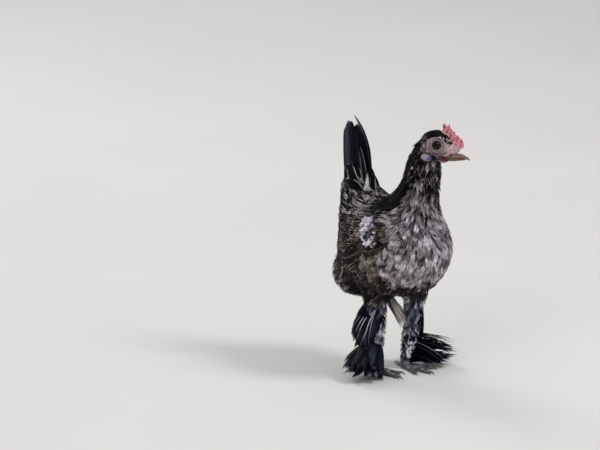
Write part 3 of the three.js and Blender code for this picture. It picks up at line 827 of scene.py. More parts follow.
def skin_tint(p):
    """Dark under the feathers, as painted shade where it shows between them; face, lids, comb, gape, wattles and
    ear lobes each in their own tones, the ear lobes with painted shade towards their front and bottom.
    """
    q, folded = folded_in(HEAD, p)
    # the skin under the feathers is painted dark, as shade in the gaps between them
    tone = np.tile(lin(46, 40, 41), (len(p), 1))
    tone = blend(tone, face_tint(q, folded), bareness(p))
    from_eye = np.linalg.norm(folded - EYE_CENTRE, axis=1)
    tone = blend(tone, lin(134, 117, 119), ramp(-from_eye, -7.7, -6.9))
    tone = blend(tone, lin(30, 20, 22), ramp(-from_eye, -6.9, -6.3))
    comb = blend(lin(140, 54, 70), lin(212, 134, 144), ramp(ripple(q, 4.2, 21), -0.7, 0.4))
    comb = blend(comb, lin(238, 196, 202), 0.85 * ramp(ripple(q, 2.6, 24), 0.15, 0.8))
    tone = blend(tone, comb, ramp(-comb_field(q), -1.3, -0.2) * ramp(q[:, 2], 1, 5))
    tone = blend(tone, lin(82, 30, 38), ramp(-gape_distance(folded), -2.2, -0.6) * bareness(p))
    flap = blend(lin(74, 26, 34), lin(158, 120, 120), ramp(-folded[:, 2], 13.9, 15.0))
    tone = blend(tone, flap, ramp(-wattle(folded), -1.2, -0.1))
    # the ear lobe is painted darker blue towards its front and bottom, as shade
    pearl = blend(lin(144, 140, 152), lin(76, 72, 106), ramp(-q[:, 1] - 0.6 * q[:, 2], 5.6, 9.4))
    pearl = blend(pearl, lin(164, 154, 158), ramp(-q[:, 2], 14.2, 15.4))
    return blend(tone, pearl, ramp(-lobe(folded), -1.0, -0.1))


skin_points, skin_quads = net(skin_field, SKIN_AXES)
skin_points, _ = onto(skin_field, skin_points, steps=3, reach=1.2)
skin = dressed(make_mesh("skin", skin_points, skin_quads), SKIN, "face_skin", *FLESH)
paint(skin, "Tint", skin_tint(skin_points))

# ---------------------------------------------------------------- eyes and bill
UPPER_BILL = [  # back to front: along and up in the head's frame, and half depth
    (-16.5, -9.2, 2.6), (-20, -9.4, 2.7), (-24.5, -9.2, 2.8), (-29, -7.9, 2.8),
    (-34.3, -7.2, 2.3), (-39.2, -8.0, 1.5), (-42.2, -9.2, 0.9), (-43.3, -10.4, 0.3),
]  # fmt: skip
LOWER_BILL = [
    (-16.5, -12.9, 1.8), (-20, -12.9, 1.9), (-26, -12.2, 1.9), (-31, -11.2, 1.5),
    (-35, -10.6, 1.1), (-38, -10.1, 0.6), (-39.4, -9.9, 0.2),
]  # fmt: skip
NOSTRIL = (-23.5, -8.6)
BILL_STEPS, BILL_ROUND = 30, 28


def bill(name, line, wide, node, flat):
    """One half of the bill, wide at its root; darker at the nostril, as painted shade in its opening, and at the
    tip.
    """
    y, z, deep = curve(line, BILL_STEPS).T
    t = np.linspace(0, 1, BILL_STEPS)
    across = mix(wide, 0.5, t**1.25) * np.sqrt(np.clip((1.02 - t) / 0.12, 0, 1))
    obj = swept(name, np.stack([0 * y, y, z], 1), across, deep, HEAD, BILL_ROUND, flat)
    dressed(obj, BEAK, "horn", node)
    q = local(HEAD, vertices(obj))
    # painted shade in the nostril's opening; the tip is darker horn
    dark = bump((q[:, 1] - NOSTRIL[0]) / 1.6, (q[:, 2] - NOSTRIL[1]) / 0.7) * ramp(np.abs(q[:, 0]), 1.5, 2.6)
    dark = np.maximum(dark, 0.5 * ramp(-q[:, 1], 38, 43))
    paint(obj, "Tint", (1 - 0.85 * dark)[:, None] * np.ones(3))


def vertices(obj):
    """An object's points in millimetres, in the frame of the hen's forms."""
    flat = np.empty(len(obj.data.vertices) * 3, np.float32)
    obj.data.vertices.foreach_get("co", flat)
    return flat.reshape(-1, 3) / MM - SHIFT


bill("upper_bill", UPPER_BILL, 5.4, "bill_upper", 0.1)
bill("lower_bill", LOWER_BILL, 4.6, "bill_lower", 0.0)


EYE_SHOWN = 0.62  # the share of a quarter turn, from the axis, that the lids leave open
CORNEA = 0.25  # how far the eye bulges over its pupil


def eye(name, sign):
    """A sphere with its poles on the eye's axis, so that iris and pupil are round."""
    rows, around = 30, 40
    axis = EYE_AXIS * (sign, 1, 1)
    side = unit(np.cross(axis, [0, 0, 1.0]))
    up = np.cross(side, axis)
    tilt = (np.arange(1, rows) / rows * math.pi)[:, None]
    turn = (np.arange(around) / around * 2 * math.pi)[None]
    bulge = EYE_RADIUS + CORNEA * np.exp(-((tilt / 0.45) ** 4))
    ball = (
        (bulge * np.cos(tilt) * np.ones_like(turn))[..., None] * axis
        + (bulge * np.sin(tilt) * np.cos(turn))[..., None] * side
        + (bulge * np.sin(tilt) * np.sin(turn))[..., None] * up
    ).reshape(-1, 3)
    poles = np.array([axis * (EYE_RADIUS + CORNEA), -axis * EYE_RADIUS])
    local_points = np.concatenate([ball, poles]) + np.array(EYE_CENTRE) * (sign, 1, 1)
    walls, caps = tube_faces(rows - 1, around)
    faces = walls[:, [0, 3, 2, 1]], caps[:, [0, 2, 1]]  # the rings run the other way round than a tube's
    obj = dressed(make_mesh(f"{name}_eyeball", world(HEAD, local_points), *faces), EYE, "eye", f"eye_{name}")
    layer = obj.data.attributes.new("Ring", "FLOAT", "POINT")
    fraction = np.concatenate([np.repeat(tilt[:, 0], around) / (math.pi / 2), [0.0, 2.0]])
    layer.data.foreach_set("value", (fraction / EYE_SHOWN).astype(np.float32))


for side, sign in SIDES.items():
    eye(side, sign)


# ---------------------------------------------------------------- where each root lies on the skin's unwrap
SPINE = np.array([  # from the crown down the neck and along the back to the tail
    (1, -72, 272), (0, -52, 246), (0, -42, 208), (0, -28, 165), (0, 6, 140), (0, 36, 150), (0, 50, 204),
], float)  # fmt: skip
BODY_ISLAND = (0.02, 0.26, 0.96, 0.72)  # left, bottom, width and height of its place in the unwrap
LEG_ISLANDS = {"left": (0.02, 0.02, 0.46, 0.2), "right": (0.52, 0.02, 0.46, 0.2)}
LEG_UNROLLED = 95  # height up to which a leg is unrolled


def unwrap(p):
    """The body unrolled about its spine and each leg about its own line, as islands of the unit square."""
    lengths = np.linalg.norm(np.diff(SPINE, axis=0), axis=1)
    starts = np.concatenate([[0], np.cumsum(lengths)])
    best = np.full(len(p), np.inf)
    s, around = np.zeros(len(p)), np.zeros(len(p))
    for k, length in enumerate(lengths):
        way = (SPINE[k + 1] - SPINE[k]) / length
        t = np.clip((p - SPINE[k]) @ way, 0, length)
        off = p - SPINE[k] - t[:, None] * way
        away = np.linalg.norm(off, axis=1)
        up = np.cross(way, [1.0, 0, 0])
        closer = away < best
        best = np.where(closer, away, best)
        s = np.where(closer, starts[k] + t, s)
        around = np.where(closer, np.arctan2(off[:, 0], off @ up), around)
    left, bottom, width, height = BODY_ISLAND
    uv = np.stack([left + width * (around / (2 * math.pi) + 0.5), bottom + height * s / starts[-1]], 1)
    for (name, leg), form in zip(LEGS.items(), leg_forms):
        mine = (form(p) < body_form(p)) & (p[:, 2] < HOCK_HEIGHT + 30)
        middle = mix(leg["foot"], leg["hip"], (p[:, 2:] - leg["foot"][2]) / (leg["hip"][2] - leg["foot"][2]))
        off = p - middle
        left, bottom, width, height = LEG_ISLANDS[name]
        turn = np.arctan2(off[:, 0], off[:, 1]) / (2 * math.pi) + 0.5
        there = np.stack([left + width * turn, bottom + height * np.clip(p[:, 2] / LEG_UNROLLED, 0, 1)], 1)
        uv = np.where(mine[:, None], there, uv)
    return uv


# ---------------------------------------------------------------- vanes
PATCH = 0.003  # a feather's place on the unwrap
SECTION = np.array([(-1, 0), (0, 1), (1, 0)])  # across a blade: one edge, the ridge, the other edge
MOST_TRIANGLES = 190_000
TIPS = {  # how wide a feather is along its length, how much its tip rounds off, how much its blades taper
    "soft": (lambda t: ramp(t, -0.4, 0.5), 0.32, 0.4),
    "lance": (lambda t: ramp(t, -0.4, 0.3) * np.clip((1.08 - t) / 0.75, 0, 1) ** 0.8, 0.1, 0.5),
    "fluff": (lambda t: 0.35 + 0.65 * t, 0.25, 0.75),
    "quill": (lambda t: np.minimum(1, 0.5 + 1.2 * t) * (1 - 0.2 * t**3), 0.12, 0.04),
    "sickle": (lambda t: np.minimum(1, 0.5 + t) * np.clip((1.07 - t) / 0.65, 0, 1) ** 0.85, 0.02, 0.05),
    "blade": (lambda t: np.minimum(1, 0.5 + 1.4 * t) * (1 - 0.35 * t**3), 0.22, 0.12),
}


def at_stations(values, t):
    """Rows of values (feathers, stations, ...) read at t (feathers, blades, rings), from 0 to 1."""
    at = t * (values.shape[1] - 1)
    k = np.minimum(at.astype(int), values.shape[1] - 2)
    f = (at - k).reshape(*t.shape, *(1,) * (values.ndim - 2))
    rows = np.arange(len(values))[:, None, None]
    return mix(values[rows, k], values[rows, k + 1], f)


class Coat:
    """Thin closed feathers, each of a few narrow blades, gathered row by row and set down as mesh pieces."""

    def __init__(self, name, slot):
        self.name, self.slot, self.rows = name, slot, []

    def add(self, centres, normals, wide, tip, blades, rings, fray, thick, camber, **colours):
        """centres and normals: (feathers, stations, 3); wide: each feather's half width."""
        count = len(centres)
        shape, rounding, taper = TIPS[tip]
        way = unit(np.gradient(centres, axis=1))
        normals = unit(normals - (normals * way).sum(-1, keepdims=True) * way)
        side = np.cross(way, normals)
        uneven = RNG.uniform(-0.25, 0.25, (count, blades))
        place = (np.arange(blades) + 0.5) / blades * 2 - 1 + uneven / blades
        place[:, [0, -1]] = np.clip(place[:, [0, -1]], -1, 1)
        reach = 1 - rounding * (1 - np.sqrt(1 - (0.97 * np.clip(place, -1, 1)) ** 2))
        reach *= 1 - RNG.uniform(0, fray, (count, blades))
        u = np.linspace(0, 1, rings)
        t = reach[..., None] * u
        half = wide[:, None, None] * shape(t)
        ends = np.clip((1.02 - u) / max(taper, 0.03), 0, 1) ** 0.7
        own = np.maximum(half * 1.45 / blades * ends, 0.04)[..., None]
        over = RNG.uniform(-0.12, 0.12, (count, blades, 1)) - camber * half * place[..., None] ** 2
        out, up = at_stations(side, t), at_stations(normals, t)
        middle = at_stations(centres, t) + out * (half * place[..., None])[..., None] + up * over[..., None]
        across, high = SECTION.T
        body = (thick * (1 - 0.7 * u))[:, None] * high
        out, up = out[..., None, :], up[..., None, :]
        points = middle[..., None, :] + out * (own * across)[..., None] + up * body[..., None]
        lean = 0.5 * place[..., None, None] + 0.35 * across
        shade = unit(up + out * lean[..., None])
        x = 0.5 + 0.5 * np.clip(place[..., None, None] + across / blades, -1, 1) * np.ones((1, 1, rings, 1))
        along = t[..., None] * np.ones(3)
        root = np.repeat(unwrap(centres[:, 0]), blades, axis=0)
        row = {"points": points, "shade": shade, "map": np.stack([x, along], -1)}
        row = {key: value.reshape(count * blades, rings, 3, -1) for key, value in row.items()}
        row.update({key: np.repeat(value, blades, axis=0) for key, value in colours.items()})
        self.rows.append(row | {"root": root})

    def finish(self):
        """Pieces of this coat, each under the limit of triangles."""
        total = sum(len(row["points"]) * (6 * (row["points"].shape[1] - 1) + 2) for row in self.rows)
        pieces = max(1, math.ceil(total / MOST_TRIANGLES))
        for n in range(pieces):
            name = self.name if pieces == 1 else f"{self.name}_{n + 1}"
            self.piece(name, [self.share(row, n, pieces) for row in self.rows])

    def share(self, row, n, pieces):
        count = len(row["points"])
        return {key: value[count * n // pieces : count * (n + 1) // pieces] for key, value in row.items()}

    def piece(self, name, rows):
        quads, caps, start = [], [], 0
        for row in rows:
            count, rings = row["points"].shape[:2]
            k, s = np.meshgrid(np.arange(rings - 1), np.arange(3), indexing="ij")
            turn = (s + 1) % 3
            wall = np.stack([k * 3 + s, k * 3 + turn, (k + 1) * 3 + turn, (k + 1) * 3 + s], -1).reshape(-1, 4)
            ends = np.array([(2, 1, 0), ((rings - 1) * 3, (rings - 1) * 3 + 1, (rings - 1) * 3 + 2)])
            offset = start + np.arange(count)[:, None, None] * rings * 3
            quads.append((wall[None] + offset).reshape(-1, 4))
            caps.append((ends[None] + offset).reshape(-1, 3))
            start += count * rings * 3
        quads, caps = np.concatenate(quads), np.concatenate(caps)
        points = np.concatenate([row["points"].reshape(-1, 3) for row in rows])
        obj = dressed(make_mesh(name, points, quads, caps), PLUMAGE, self.slot)
        place = np.concatenate([row["map"].reshape(-1, 2) for row in rows])
        root = np.concatenate([np.repeat(row["root"], row["points"].shape[1] * 3, axis=0) for row in rows])
        corners = np.concatenate([quads.ravel(), caps.ravel()])
        for layer, values in (("OFBake", root + (place - 0.5) * PATCH), ("FeatherUV", place)):
            uv = obj.data.uv_layers.new(name=layer)
            uv.data.foreach_set("uv", values[corners].astype(np.float32).ravel())
        for key in ("Base", "Mark", "Look", "More"):
            each = np.concatenate([np.repeat(row[key], row["points"].shape[1] * 3, axis=0) for row in rows])
            if key in ("Base", "Mark"):
                paint(obj, key, each)
            else:
                layer = obj.data.attributes.new(key, "FLOAT_VECTOR", "POINT")
                layer.data.foreach_set("vector", each.astype(np.float32).ravel())
        shade = np.concatenate([row["shade"].reshape(-1, 3) for row in rows])[corners]
        under = np.repeat(np.arange(len(quads)) % 3 == 2, 4)
        shade[: len(under)][under] *= -1
        obj.data.normals_split_custom_set(shade.astype(np.float32))


# ---------------------------------------------------------------- the lie of the coat
LIE = [  # where on her right or left side, and which way a feather points there: out, back, up
    ((0, -66, 276), (0, 1, 0.1)),
    ((0, -44, 268), (0, 0.6, -0.8)),
    ((12, -52, 262), (0.1, 0.6, -0.75)),
    ((12, -58, 248), (0.1, 0.3, -0.95)),
    ((0, -74, 240), (0, 0.15, -1)),
    ((15, -50, 225), (0.1, 0.2, -0.97)),
    ((0, -30, 225), (0, 0.3, -0.95)),
    ((0, -8, 196), (0, 0.95, -0.3)),
    ((26, -34, 194), (0.25, 0.55, -0.8)),
    ((32, -18, 182), (0.15, 0.85, -0.5)),
    ((0, -68, 200), (0, -0.1, -1)),
    ((0, -78, 150), (0, 0.0, -1)),
    ((20, -66, 170), (0.05, 0.15, -1)),
    ((0, -60, 108), (0, 0.6, -0.8)),
    ((30, -60, 130), (0.1, 0.45, -0.9)),
    ((44, -40, 155), (0.1, 0.5, -0.85)),
    ((42, -30, 118), (0, 0.65, -0.75)),
    ((54, -10, 150), (0.05, 0.85, -0.5)),
    ((46, 0, 112), (0, 0.8, -0.6)),
    ((50, 30, 145), (-0.1, 0.95, -0.25)),
    ((0, 6, 190), (0, 1, 0.15)),
    ((24, 10, 186), (0.1, 0.95, -0.2)),
    ((34, 30, 168), (0, 0.9, -0.4)),
    ((0, 24, 196), (0, 0.75, 0.65)),
    ((14, 36, 196), (0.1, 0.45, 0.85)),
    ((18, 50, 192), (0.05, 0.25, 0.95)),
    ((0, 66, 190), (0, 0.05, 1)),
    ((22, 54, 165), (0.05, 0.75, 0.35)),
    ((0, 62, 140), (0, 0.8, -0.2)),
    ((24, 56, 120), (0, 0.7, -0.7)),
    ((0, 72, 96), (0, 0.4, -0.9)),
    ((0, 20, 90), (0, 1, -0.1)),
    ((0, -20, 92), (0, 1, -0.1)),
    ((25, -12, 80), (0.1, 0.25, -1)),
    ((22, -10, 50), (0.35, 0.15, -0.9)),
    ((17, 0, 15), (0.4, -0.1, -0.7)),
]
LIE_AT = np.array([(s * at[0], *at[1:]) for at, _ in LIE for s in (1, -1)], float)
LIE_WAY = unit(np.array([(s * way[0], *way[1:]) for _, way in LIE for s in (1, -1)], float))
LIE_REACH = 12.0  # how far each direction holds before it blends with the next


def lie(p, normal):
    """The direction a feather takes along the skin at points p."""
    gap = ((p[:, None] - LIE_AT[None]) ** 2).sum(-1)
    share = 1 / (gap + LIE_REACH**2) ** 2
    way = (share[..., None] * LIE_WAY).sum(1)
    return unit(way - (way * normal).sum(1, keepdims=True) * normal)


def turned(way, normal, degrees):
    """Directions turned about normals."""
    a = np.radians(degrees)[:, None]
    return way * np.cos(a) + np.cross(normal, way) * np.sin(a)


def march(roots, length, rings, deep, tip, stray, curl):
    """Centre lines along the lie of the coat, rising from deep under the coat's surface to tip over it."""
    p, lines, faces = roots, [], []
    for k in range(rings):
        t = k / (rings - 1)
        if k:
            _, slope = gradient(coat_form, p)
            normal = unit(slope)
            way = turned(lie(p, normal), normal, stray + curl * t)
            p = p + way * (length / (rings - 1))[:, None]
        level = mix(-deep, tip, 1 - (1 - t) ** 2)
        p, normal = onto(coat_form, p, level, steps=1)
        lines.append(p)
        faces.append(normal)
    return np.stack(lines, 1), np.stack(faces, 1)


# ---------------------------------------------------------------- regions of the coat
def outlook(p):
    """What the regions are told apart by, with her two sides folded together."""
    x, y, z = np.abs(p[:, 0]), p[:, 1], p[:, 2]
    axis = np.interp(z, [156, 186, 208, 230, 250], [-17, -35, -43, -48, -55])
    legs = np.minimum(*(form(p) for form in leg_forms)) - body_form(p)
    out, ahead, up = on_head(p)
    turn = np.degrees(np.arctan2(x, axis - y))
    return {"x": x, "y": y, "z": z, "round": turn, "leg": legs, "out": out, "ahead": ahead, "up": up}


def looks(**own):
    """What a kind of feather is like. Each mark, lace to pencil, is (how many have it, how strong it is)."""
    row = {
        "tip": "soft", "camber": 0.12, "thick": 0.3, "blades": 5, "rings": 5, "fray": 0.14,
        "lift": 0.0, "stray": 9, "deep": 1.0, "base": [], "mark": (30, 26, 28),
        "lace": (0, 0), "shaft": (0, 0), "fleck": (0, 0), "pencil": (0, 0), "fine": 0.0, "warm": 0.0,
    }  # fmt: skip
    return row | own


def region(name, where, spacing, length, width, tip="soft", **own):
    """A part of the coat: where says how strongly each place belongs to it."""
    return looks(name=name, where=where, spacing=spacing, length=length, width=width, tip=tip, **own)


HACKLE_LOW = 173
CAPE = [  # height, how far round it comes
    (166, 12), (176, 27), (184, 32), (192, 37), (202, 43), (213, 46), (224, 40), (236, 33), (250, 40),
]  # fmt: skip


def cape(o):
    """1 inside the dark cape that covers the back of the neck."""
    edge = 172 - np.interp(o["z"], *np.transpose([(z, 2 * wide) for z, wide in CAPE]))
    return ramp(o["round"], edge - 10, edge + 6)


REGIONS = [  # name, where, spacing of the roots, length and width of a feather, kind of tip, and its looks
    region("crown", lambda o: within(o["z"], 247, 320),
           1.3, 5.4, 2.2, "lance", blades=2, rings=4, deep=0.8,
           base=[(10, 9, 10), (16, 13, 15), (26, 22, 25), (96, 90, 94)],
           mark=(120, 114, 118), fleck=(0.12, 0.7), stray=12),
    region("hackle", lambda o: 1.15 * within(o["z"], HACKLE_LOW, 249) * cape(o) * within(o["y"], -99, -13, 3),
           2.2, 22, 4.0, "lance", blades=3, rings=7, fray=0.2,
           base=[(4, 3, 4), (6, 5, 6), (9, 7, 8), (20, 16, 17)],
           mark=(108, 98, 98), lace=(0.2, 0.6), fine=0.6, shaft=(0.2, 0.6), lift=0.7),
    region("throat", lambda o: within(o["z"], 214, 249) * (1 - cape(o)),
           2.0, 10, 3.4, "lance", blades=3,
           base=[(8, 6, 8), (14, 11, 13), (34, 29, 32), (146, 138, 144)],
           mark=(172, 164, 170), shaft=(0.35, 0.9), lace=(0.2, 0.6), lift=0.5, stray=10),
    region("bib", lambda o: within(o["z"], 188, 217) * (1 - cape(o)),
           2.4, 14, 4.6, "lance", blades=4,
           base=[(18, 16, 18), (104, 99, 105), (166, 160, 167), (212, 206, 213)],
           mark=(12, 10, 12), fleck=(0.55, 1), lace=(0.25, 0.9), stray=12),
    region("breast", lambda o: within(o["z"], 117, 190, 9) * within(o["y"], -99, -28, 9),
           2.8, 17, 5.8, warm=0.6, blades=6,
           base=[(56, 52, 56), (112, 107, 113), (156, 151, 158), (186, 181, 188), (216, 212, 220)],
           mark=(18, 15, 18), fleck=(0.66, 1), lace=(0.35, 0.8), fine=0.9, shaft=(0.2, 0.8), stray=12),
    region("flank",
           lambda o: 1.05 * within(o["z"], 108, 184, 8) * within(o["y"], -43, -6, 8) * within(o["x"], 24, 99),
           2.7, 15, 5.8, warm=1.0, blades=6,
           base=[(20, 17, 18), (46, 41, 41), (84, 78, 77), (134, 126, 123)],
           mark=(20, 16, 18), fleck=(0.55, 1), lace=(0.4, 0.9), fine=0.7, shaft=(0.15, 0.6), stray=13),
    region("shoulder",
           lambda o: 2.4 * bump((o["y"] + 18 - 0.4 * (o["z"] - 166)) / 9.5, (o["z"] - 168) / 16.5)
           * within(o["x"], 28, 99),
           1.9, 7.5, 4.4, blades=4,
           base=[(20, 21, 34), (120, 122, 146), (206, 207, 222), (246, 246, 252)],
           mark=(8, 8, 18), lace=(0.7, 1), fine=0.9, fleck=(0.4, 1), stray=15),
    region("tan", lambda o: 2.6 * bump((o["y"] + 22) / 8.5, (o["z"] - 136) / 8.5) * within(o["x"], 28, 99),
           3.4, 12, 7.5, "blade", warm=0.3, blades=6,
           base=[(96, 89, 83), (122, 114, 107), (148, 140, 132)],
           mark=(50, 43, 40), fleck=(0.5, 0.5), fine=1.2, stray=12),
    region("wing", lambda o: within(o["z"], 112, 184) * within(o["y"], -8, 99) * within(o["x"], 26, 99),
           3.2, 15, 7.4, blades=5, fray=0.06,
           base=[(8, 6, 6), (12, 9, 9), (21, 17, 16), (46, 39, 36)],
           mark=(206, 194, 186), pencil=(0.12, 0.7), lace=(0.8, 1), fine=1.4, shaft=(0.1, 0.7), stray=18),
    region("saddle", lambda o: within(o["z"], 172, 240) * within(o["y"], -14, 99),
           3.6, 18, 7.2, blades=6, rings=6, fray=0.06,
           base=[(8, 7, 8), (14, 12, 14), (34, 30, 33), (92, 86, 91)],
           mark=(232, 227, 232), lace=(0.85, 1), fine=1.15, pencil=(0.1, 0.8), lift=0.5, stray=24),
    region("mantle",
           lambda o: 1.4 * within(o["z"], 174, 187, 3) * within(o["y"], -14, 20, 3) * within(o["x"], 18, 99),
           3.0, 19, 5.4, "lance", blades=5, rings=7,
           base=[(20, 17, 19), (70, 65, 68), (138, 131, 134), (184, 178, 181)],
           mark=(224, 218, 220), lace=(0.7, 1), fine=0.8, shaft=(0.3, 0.7), lift=0.5, stray=10),
    region("rump", lambda o: within(o["z"], 118, 184) * within(o["y"], 40, 99) * 0.95,
           3.2, 16, 7.0, blades=5, fray=0.06,
           base=[(13, 11, 11), (23, 19, 19), (36, 31, 30), (62, 55, 53)],
           mark=(176, 165, 158), pencil=(0.1, 0.7), lace=(0.65, 0.9), fine=1.6, stray=14),
    # the belly's dark palette is partly her own colour and partly painted shade on her underside
    region("belly", lambda o: within(o["z"], 60, 117, 9) * within(o["y"], -99, 36),
           2.5, 16, 4.6, "fluff", warm=0.8,
           base=[(13, 11, 11), (29, 25, 25), (54, 49, 48), (104, 97, 94)],
           mark=(16, 13, 14), fleck=(0.6, 1), lace=(0.3, 0.6), lift=0.5, stray=16),
    region("rear", lambda o: within(o["z"], 60, 122, 5) * within(o["y"], 30, 99),
           2.1, 25, 3.0, "fluff", blades=3, rings=7,
           base=[(16, 14, 16), (40, 37, 40), (92, 88, 92), (172, 168, 174)],
           mark=(20, 18, 20), fleck=(0.3, 0.8), lift=2.4, stray=26, camber=0.2, fray=0.45),
    region("thigh", lambda o: 1.4 * ramp(-o["leg"], 0, 5) * within(o["z"], 52, 91),
           2.4, 13, 4.6, "fluff",
           base=[(22, 21, 30), (88, 91, 108), (176, 180, 200), (230, 233, 245)],
           mark=(16, 15, 22), fleck=(0.5, 1), lace=(0.2, 0.6), lift=0.6, stray=16),
    region("hock", lambda o: 1.7 * ramp(-o["leg"], 0, 5) * within(o["z"], 35, 49, 2),
           1.9, 9, 3.8, "fluff", blades=3,
           base=[(12, 12, 24), (20, 21, 38), (44, 46, 68), (150, 154, 174)],
           mark=(196, 200, 216), fleck=(0.25, 0.8), lift=0.6, stray=18),
    region("shank", lambda o: 1.5 * ramp(-o["leg"], 0, 5) * within(o["z"], 0, 58),
           1.8, 7.5, 3.4, "fluff", blades=3,
           base=[(14, 14, 27), (96, 100, 122), (222, 225, 236), (248, 249, 253)],
           mark=(12, 12, 24), fleck=(0.3, 1), lace=(0.2, 0.9), lift=0.6, stray=22),
]


def choose(count, options, at=None):
    """A feather's own colour: one of the options, dark to light, in drifts where places are given."""
    kinds = np.array([lin(*option) for option in options])
    rank = RNG.random(count)
    if at is not None:
        rank = np.clip(0.5 * rank + 0.25 + 0.38 * ripple(at, 19, 71) + 0.2 * ripple(at, 8, 72), 0, 0.999)
    return kinds[(rank * len(kinds)).astype(int)] * RNG.uniform(0.85, 1.15, (count, 1))


def chance(count, likely_strong):
    """How strong a mark is on each feather, 0 on those without it."""
    likely, strong = likely_strong
    return np.where(RNG.random(count) < likely, strong * RNG.uniform(0.75, 1, count), 0)


def clear_of_flesh(p):
    """Whether a feather's root stands off the eye, comb, wattles and ear lobes."""
    q, folded = folded_in(HEAD, p)
    fleshy = np.minimum(np.minimum(wattle(folded), lobe(folded) - 1.2), comb_field(q))
    return (np.linalg.norm(folded - EYE_CENTRE, axis=1) > EYE_RADIUS + 3.5) & (fleshy > 0.9)


WAVY_BORDER = 0.12  # how far regions run into each other in drifts
MIXED_BORDER = 0.4  # and by the feather


def scatter(points, quads, crowd):
    """Roots spread over the skin, each keeping its own distance from the others."""
    corner = points[quads]
    area = 0.5 * np.linalg.norm(np.cross(corner[:, 2] - corner[:, 0], corner[:, 3] - corner[:, 1]), axis=1)
    face = RNG.choice(len(quads), size=crowd, p=area / area.sum())
    a, b = RNG.random((2, crowd, 1))
    at = corner[face]
    p = mix(mix(at[:, 0], at[:, 1], a), mix(at[:, 3], at[:, 2], a), b)
    look = outlook(p)
    weight = np.stack([row["where"](look) for row in REGIONS], 1)
    weight += WAVY_BORDER * np.stack([ripple(p, 14, 40 + k) for k in range(len(REGIONS))], 1)
    weight += RNG.uniform(0, MIXED_BORDER, weight.shape) * (weight > 0.1)
    kind = weight.argmax(1)
    keep = (bareness(p) < 0.5) & (p[:, 2] > 9) & clear_of_flesh(p)
    gap = np.array([row["spacing"] for row in REGIONS])[kind]
    coarse = max(row["spacing"] for row in REGIONS)
    grid, taken = {}, []
    cell = np.floor(p / coarse).astype(int)
    for n in np.flatnonzero(keep):
        cx, cy, cz = cell[n]
        here, radius = p[n], gap[n] ** 2
        clear = True
        for key in ((cx + i, cy + j, cz + k) for i in (-1, 0, 1) for j in (-1, 0, 1) for k in (-1, 0, 1)):
            for other in grid.get(key, ()):
                d = here - p[other]
                if d[0] * d[0] + d[1] * d[1] + d[2] * d[2] < radius:
                    clear = False
                    break
            if not clear:
                break
        if clear:
            grid.setdefault((cx, cy, cz), []).append(n)
            taken.append(n)
    taken = np.array(taken)
    return p[taken], kind[taken]


COOL, WARM = np.array((1.02, 0.99, 0.98)), np.array((1.06, 0.98, 0.91))


def clothe(coat, roots, row, stations=7):
    """Adds a feather at each root, lying along the coat; warmer colours show towards her sides."""
    count = len(roots)
    length = row["length"] * RNG.uniform(0.85, 1.15, count)
    deep = coat_depth(roots) * row["deep"]
    tip = row["lift"] + RNG.uniform(-0.4, 0.4, count)
    stray = RNG.normal(0, row["stray"], count)
    curl = RNG.normal(0, row["stray"] * 0.7, count)
    centres, normals = march(roots, length, stations, deep, tip, stray, curl)
    base = choose(count, row["base"], roots)
    base = base * blend(COOL, WARM, row["warm"] * ramp(np.abs(roots[:, 0]), 10, 40))
    feather(coat, centres, normals, row, base)


def feather(coat, centres, normals, row, base):
    """Adds feathers on given lines, with the widths and looks of a row."""
    count = len(centres)
    look = np.stack([chance(count, row[key]) for key in ("lace", "shaft", "fleck")], 1)
    look[:, 2] *= 1 - 0.55 * np.clip(base.mean(1) / lin(190, 190, 190)[0], 0, 1)
    more = np.stack([chance(count, row["pencil"]), RNG.random(count), np.full(count, row["fine"])], 1)
    wide = row["width"] / 2 * RNG.uniform(0.85, 1.15, count)
    form = {key: row[key] for key in ("tip", "blades", "rings", "fray", "thick", "camber")}
    mark = choose(count, [row["mark"]])
    coat.add(centres, normals, wide, **form, Base=base, Mark=mark, Look=look, More=more)


CROWD = 160_000  # places tried, of which the spacing leaves fewer
roots, kinds = scatter(skin_points, skin_quads, CROWD)
for k, row in enumerate(REGIONS):
    coat = Coat(f"coat_{row['name']}", "feather_grey")
    mine = roots[kinds == k]
    if len(mine):
        clothe(coat, mine, row)
        coat.finish()


QUILLS = 11  # on each wing
QUILL_ROOTS = [(60, -8, 131), (62, 4, 139), (60, 12, 153)]  # the lowest, a middle one and the highest


def wing_quills():
    """The folded wing's long feathers."""
    coat = Coat("wing_quills", "feather_grey")
    at = np.concatenate([curve(QUILL_ROOTS, QUILLS) * (sign, 1, 1) for sign in SIDES.values()])
    roots, _ = onto(skin_field, at, steps=8, reach=8)
    row = looks(length=27, width=8, tip="quill", blades=6, rings=9, fray=0.05, deep=0.25, lift=0.4, stray=12,
                base=[(10, 8, 8), (20, 16, 15), (44, 37, 34)], mark=(178, 165, 155),
                lace=(0.75, 0.8), fine=1.5, shaft=(0.3, 0.5), pencil=(0.15, 0.5))  # fmt: skip
    clothe(coat, roots, row, stations=10)
    coat.finish()


wing_quills()


# ---------------------------------------------------------------- free feathers: head, tail, hocks and feet
def bowed(root, middle, tip, rings):
    """Quadratic lines from root to tip, drawn towards middle: (feathers, rings, 3)."""
    t = np.linspace(0, 1, rings)[None, :, None]
    a, b, c = (np.asarray(v, float)[:, None] for v in (root, middle, tip))
    return (1 - t) ** 2 * a + 2 * t * (1 - t) * b + t * t * c


def arched(root, tip, off, rings):
    """Lines from root to tip, drawn aside by off at the middle."""
    return bowed(root, (root + tip) / 2 + off, tip, rings)


def facing(lines, outward):
    """Vane normals along lines, as near to outward as square to each line allows."""
    way = unit(np.gradient(lines, axis=1))
    outward = np.broadcast_to(np.asarray(outward, float)[:, None], lines.shape)
    return unit(outward - (outward * way).sum(-1, keepdims=True) * way)


def spread(coat, lines, outward, **row):
    """Adds free feathers with the same set of looks as a region has."""
    row = looks(**row)
    feather(coat, lines, facing(lines, outward), row, choose(len(lines), row["base"]))


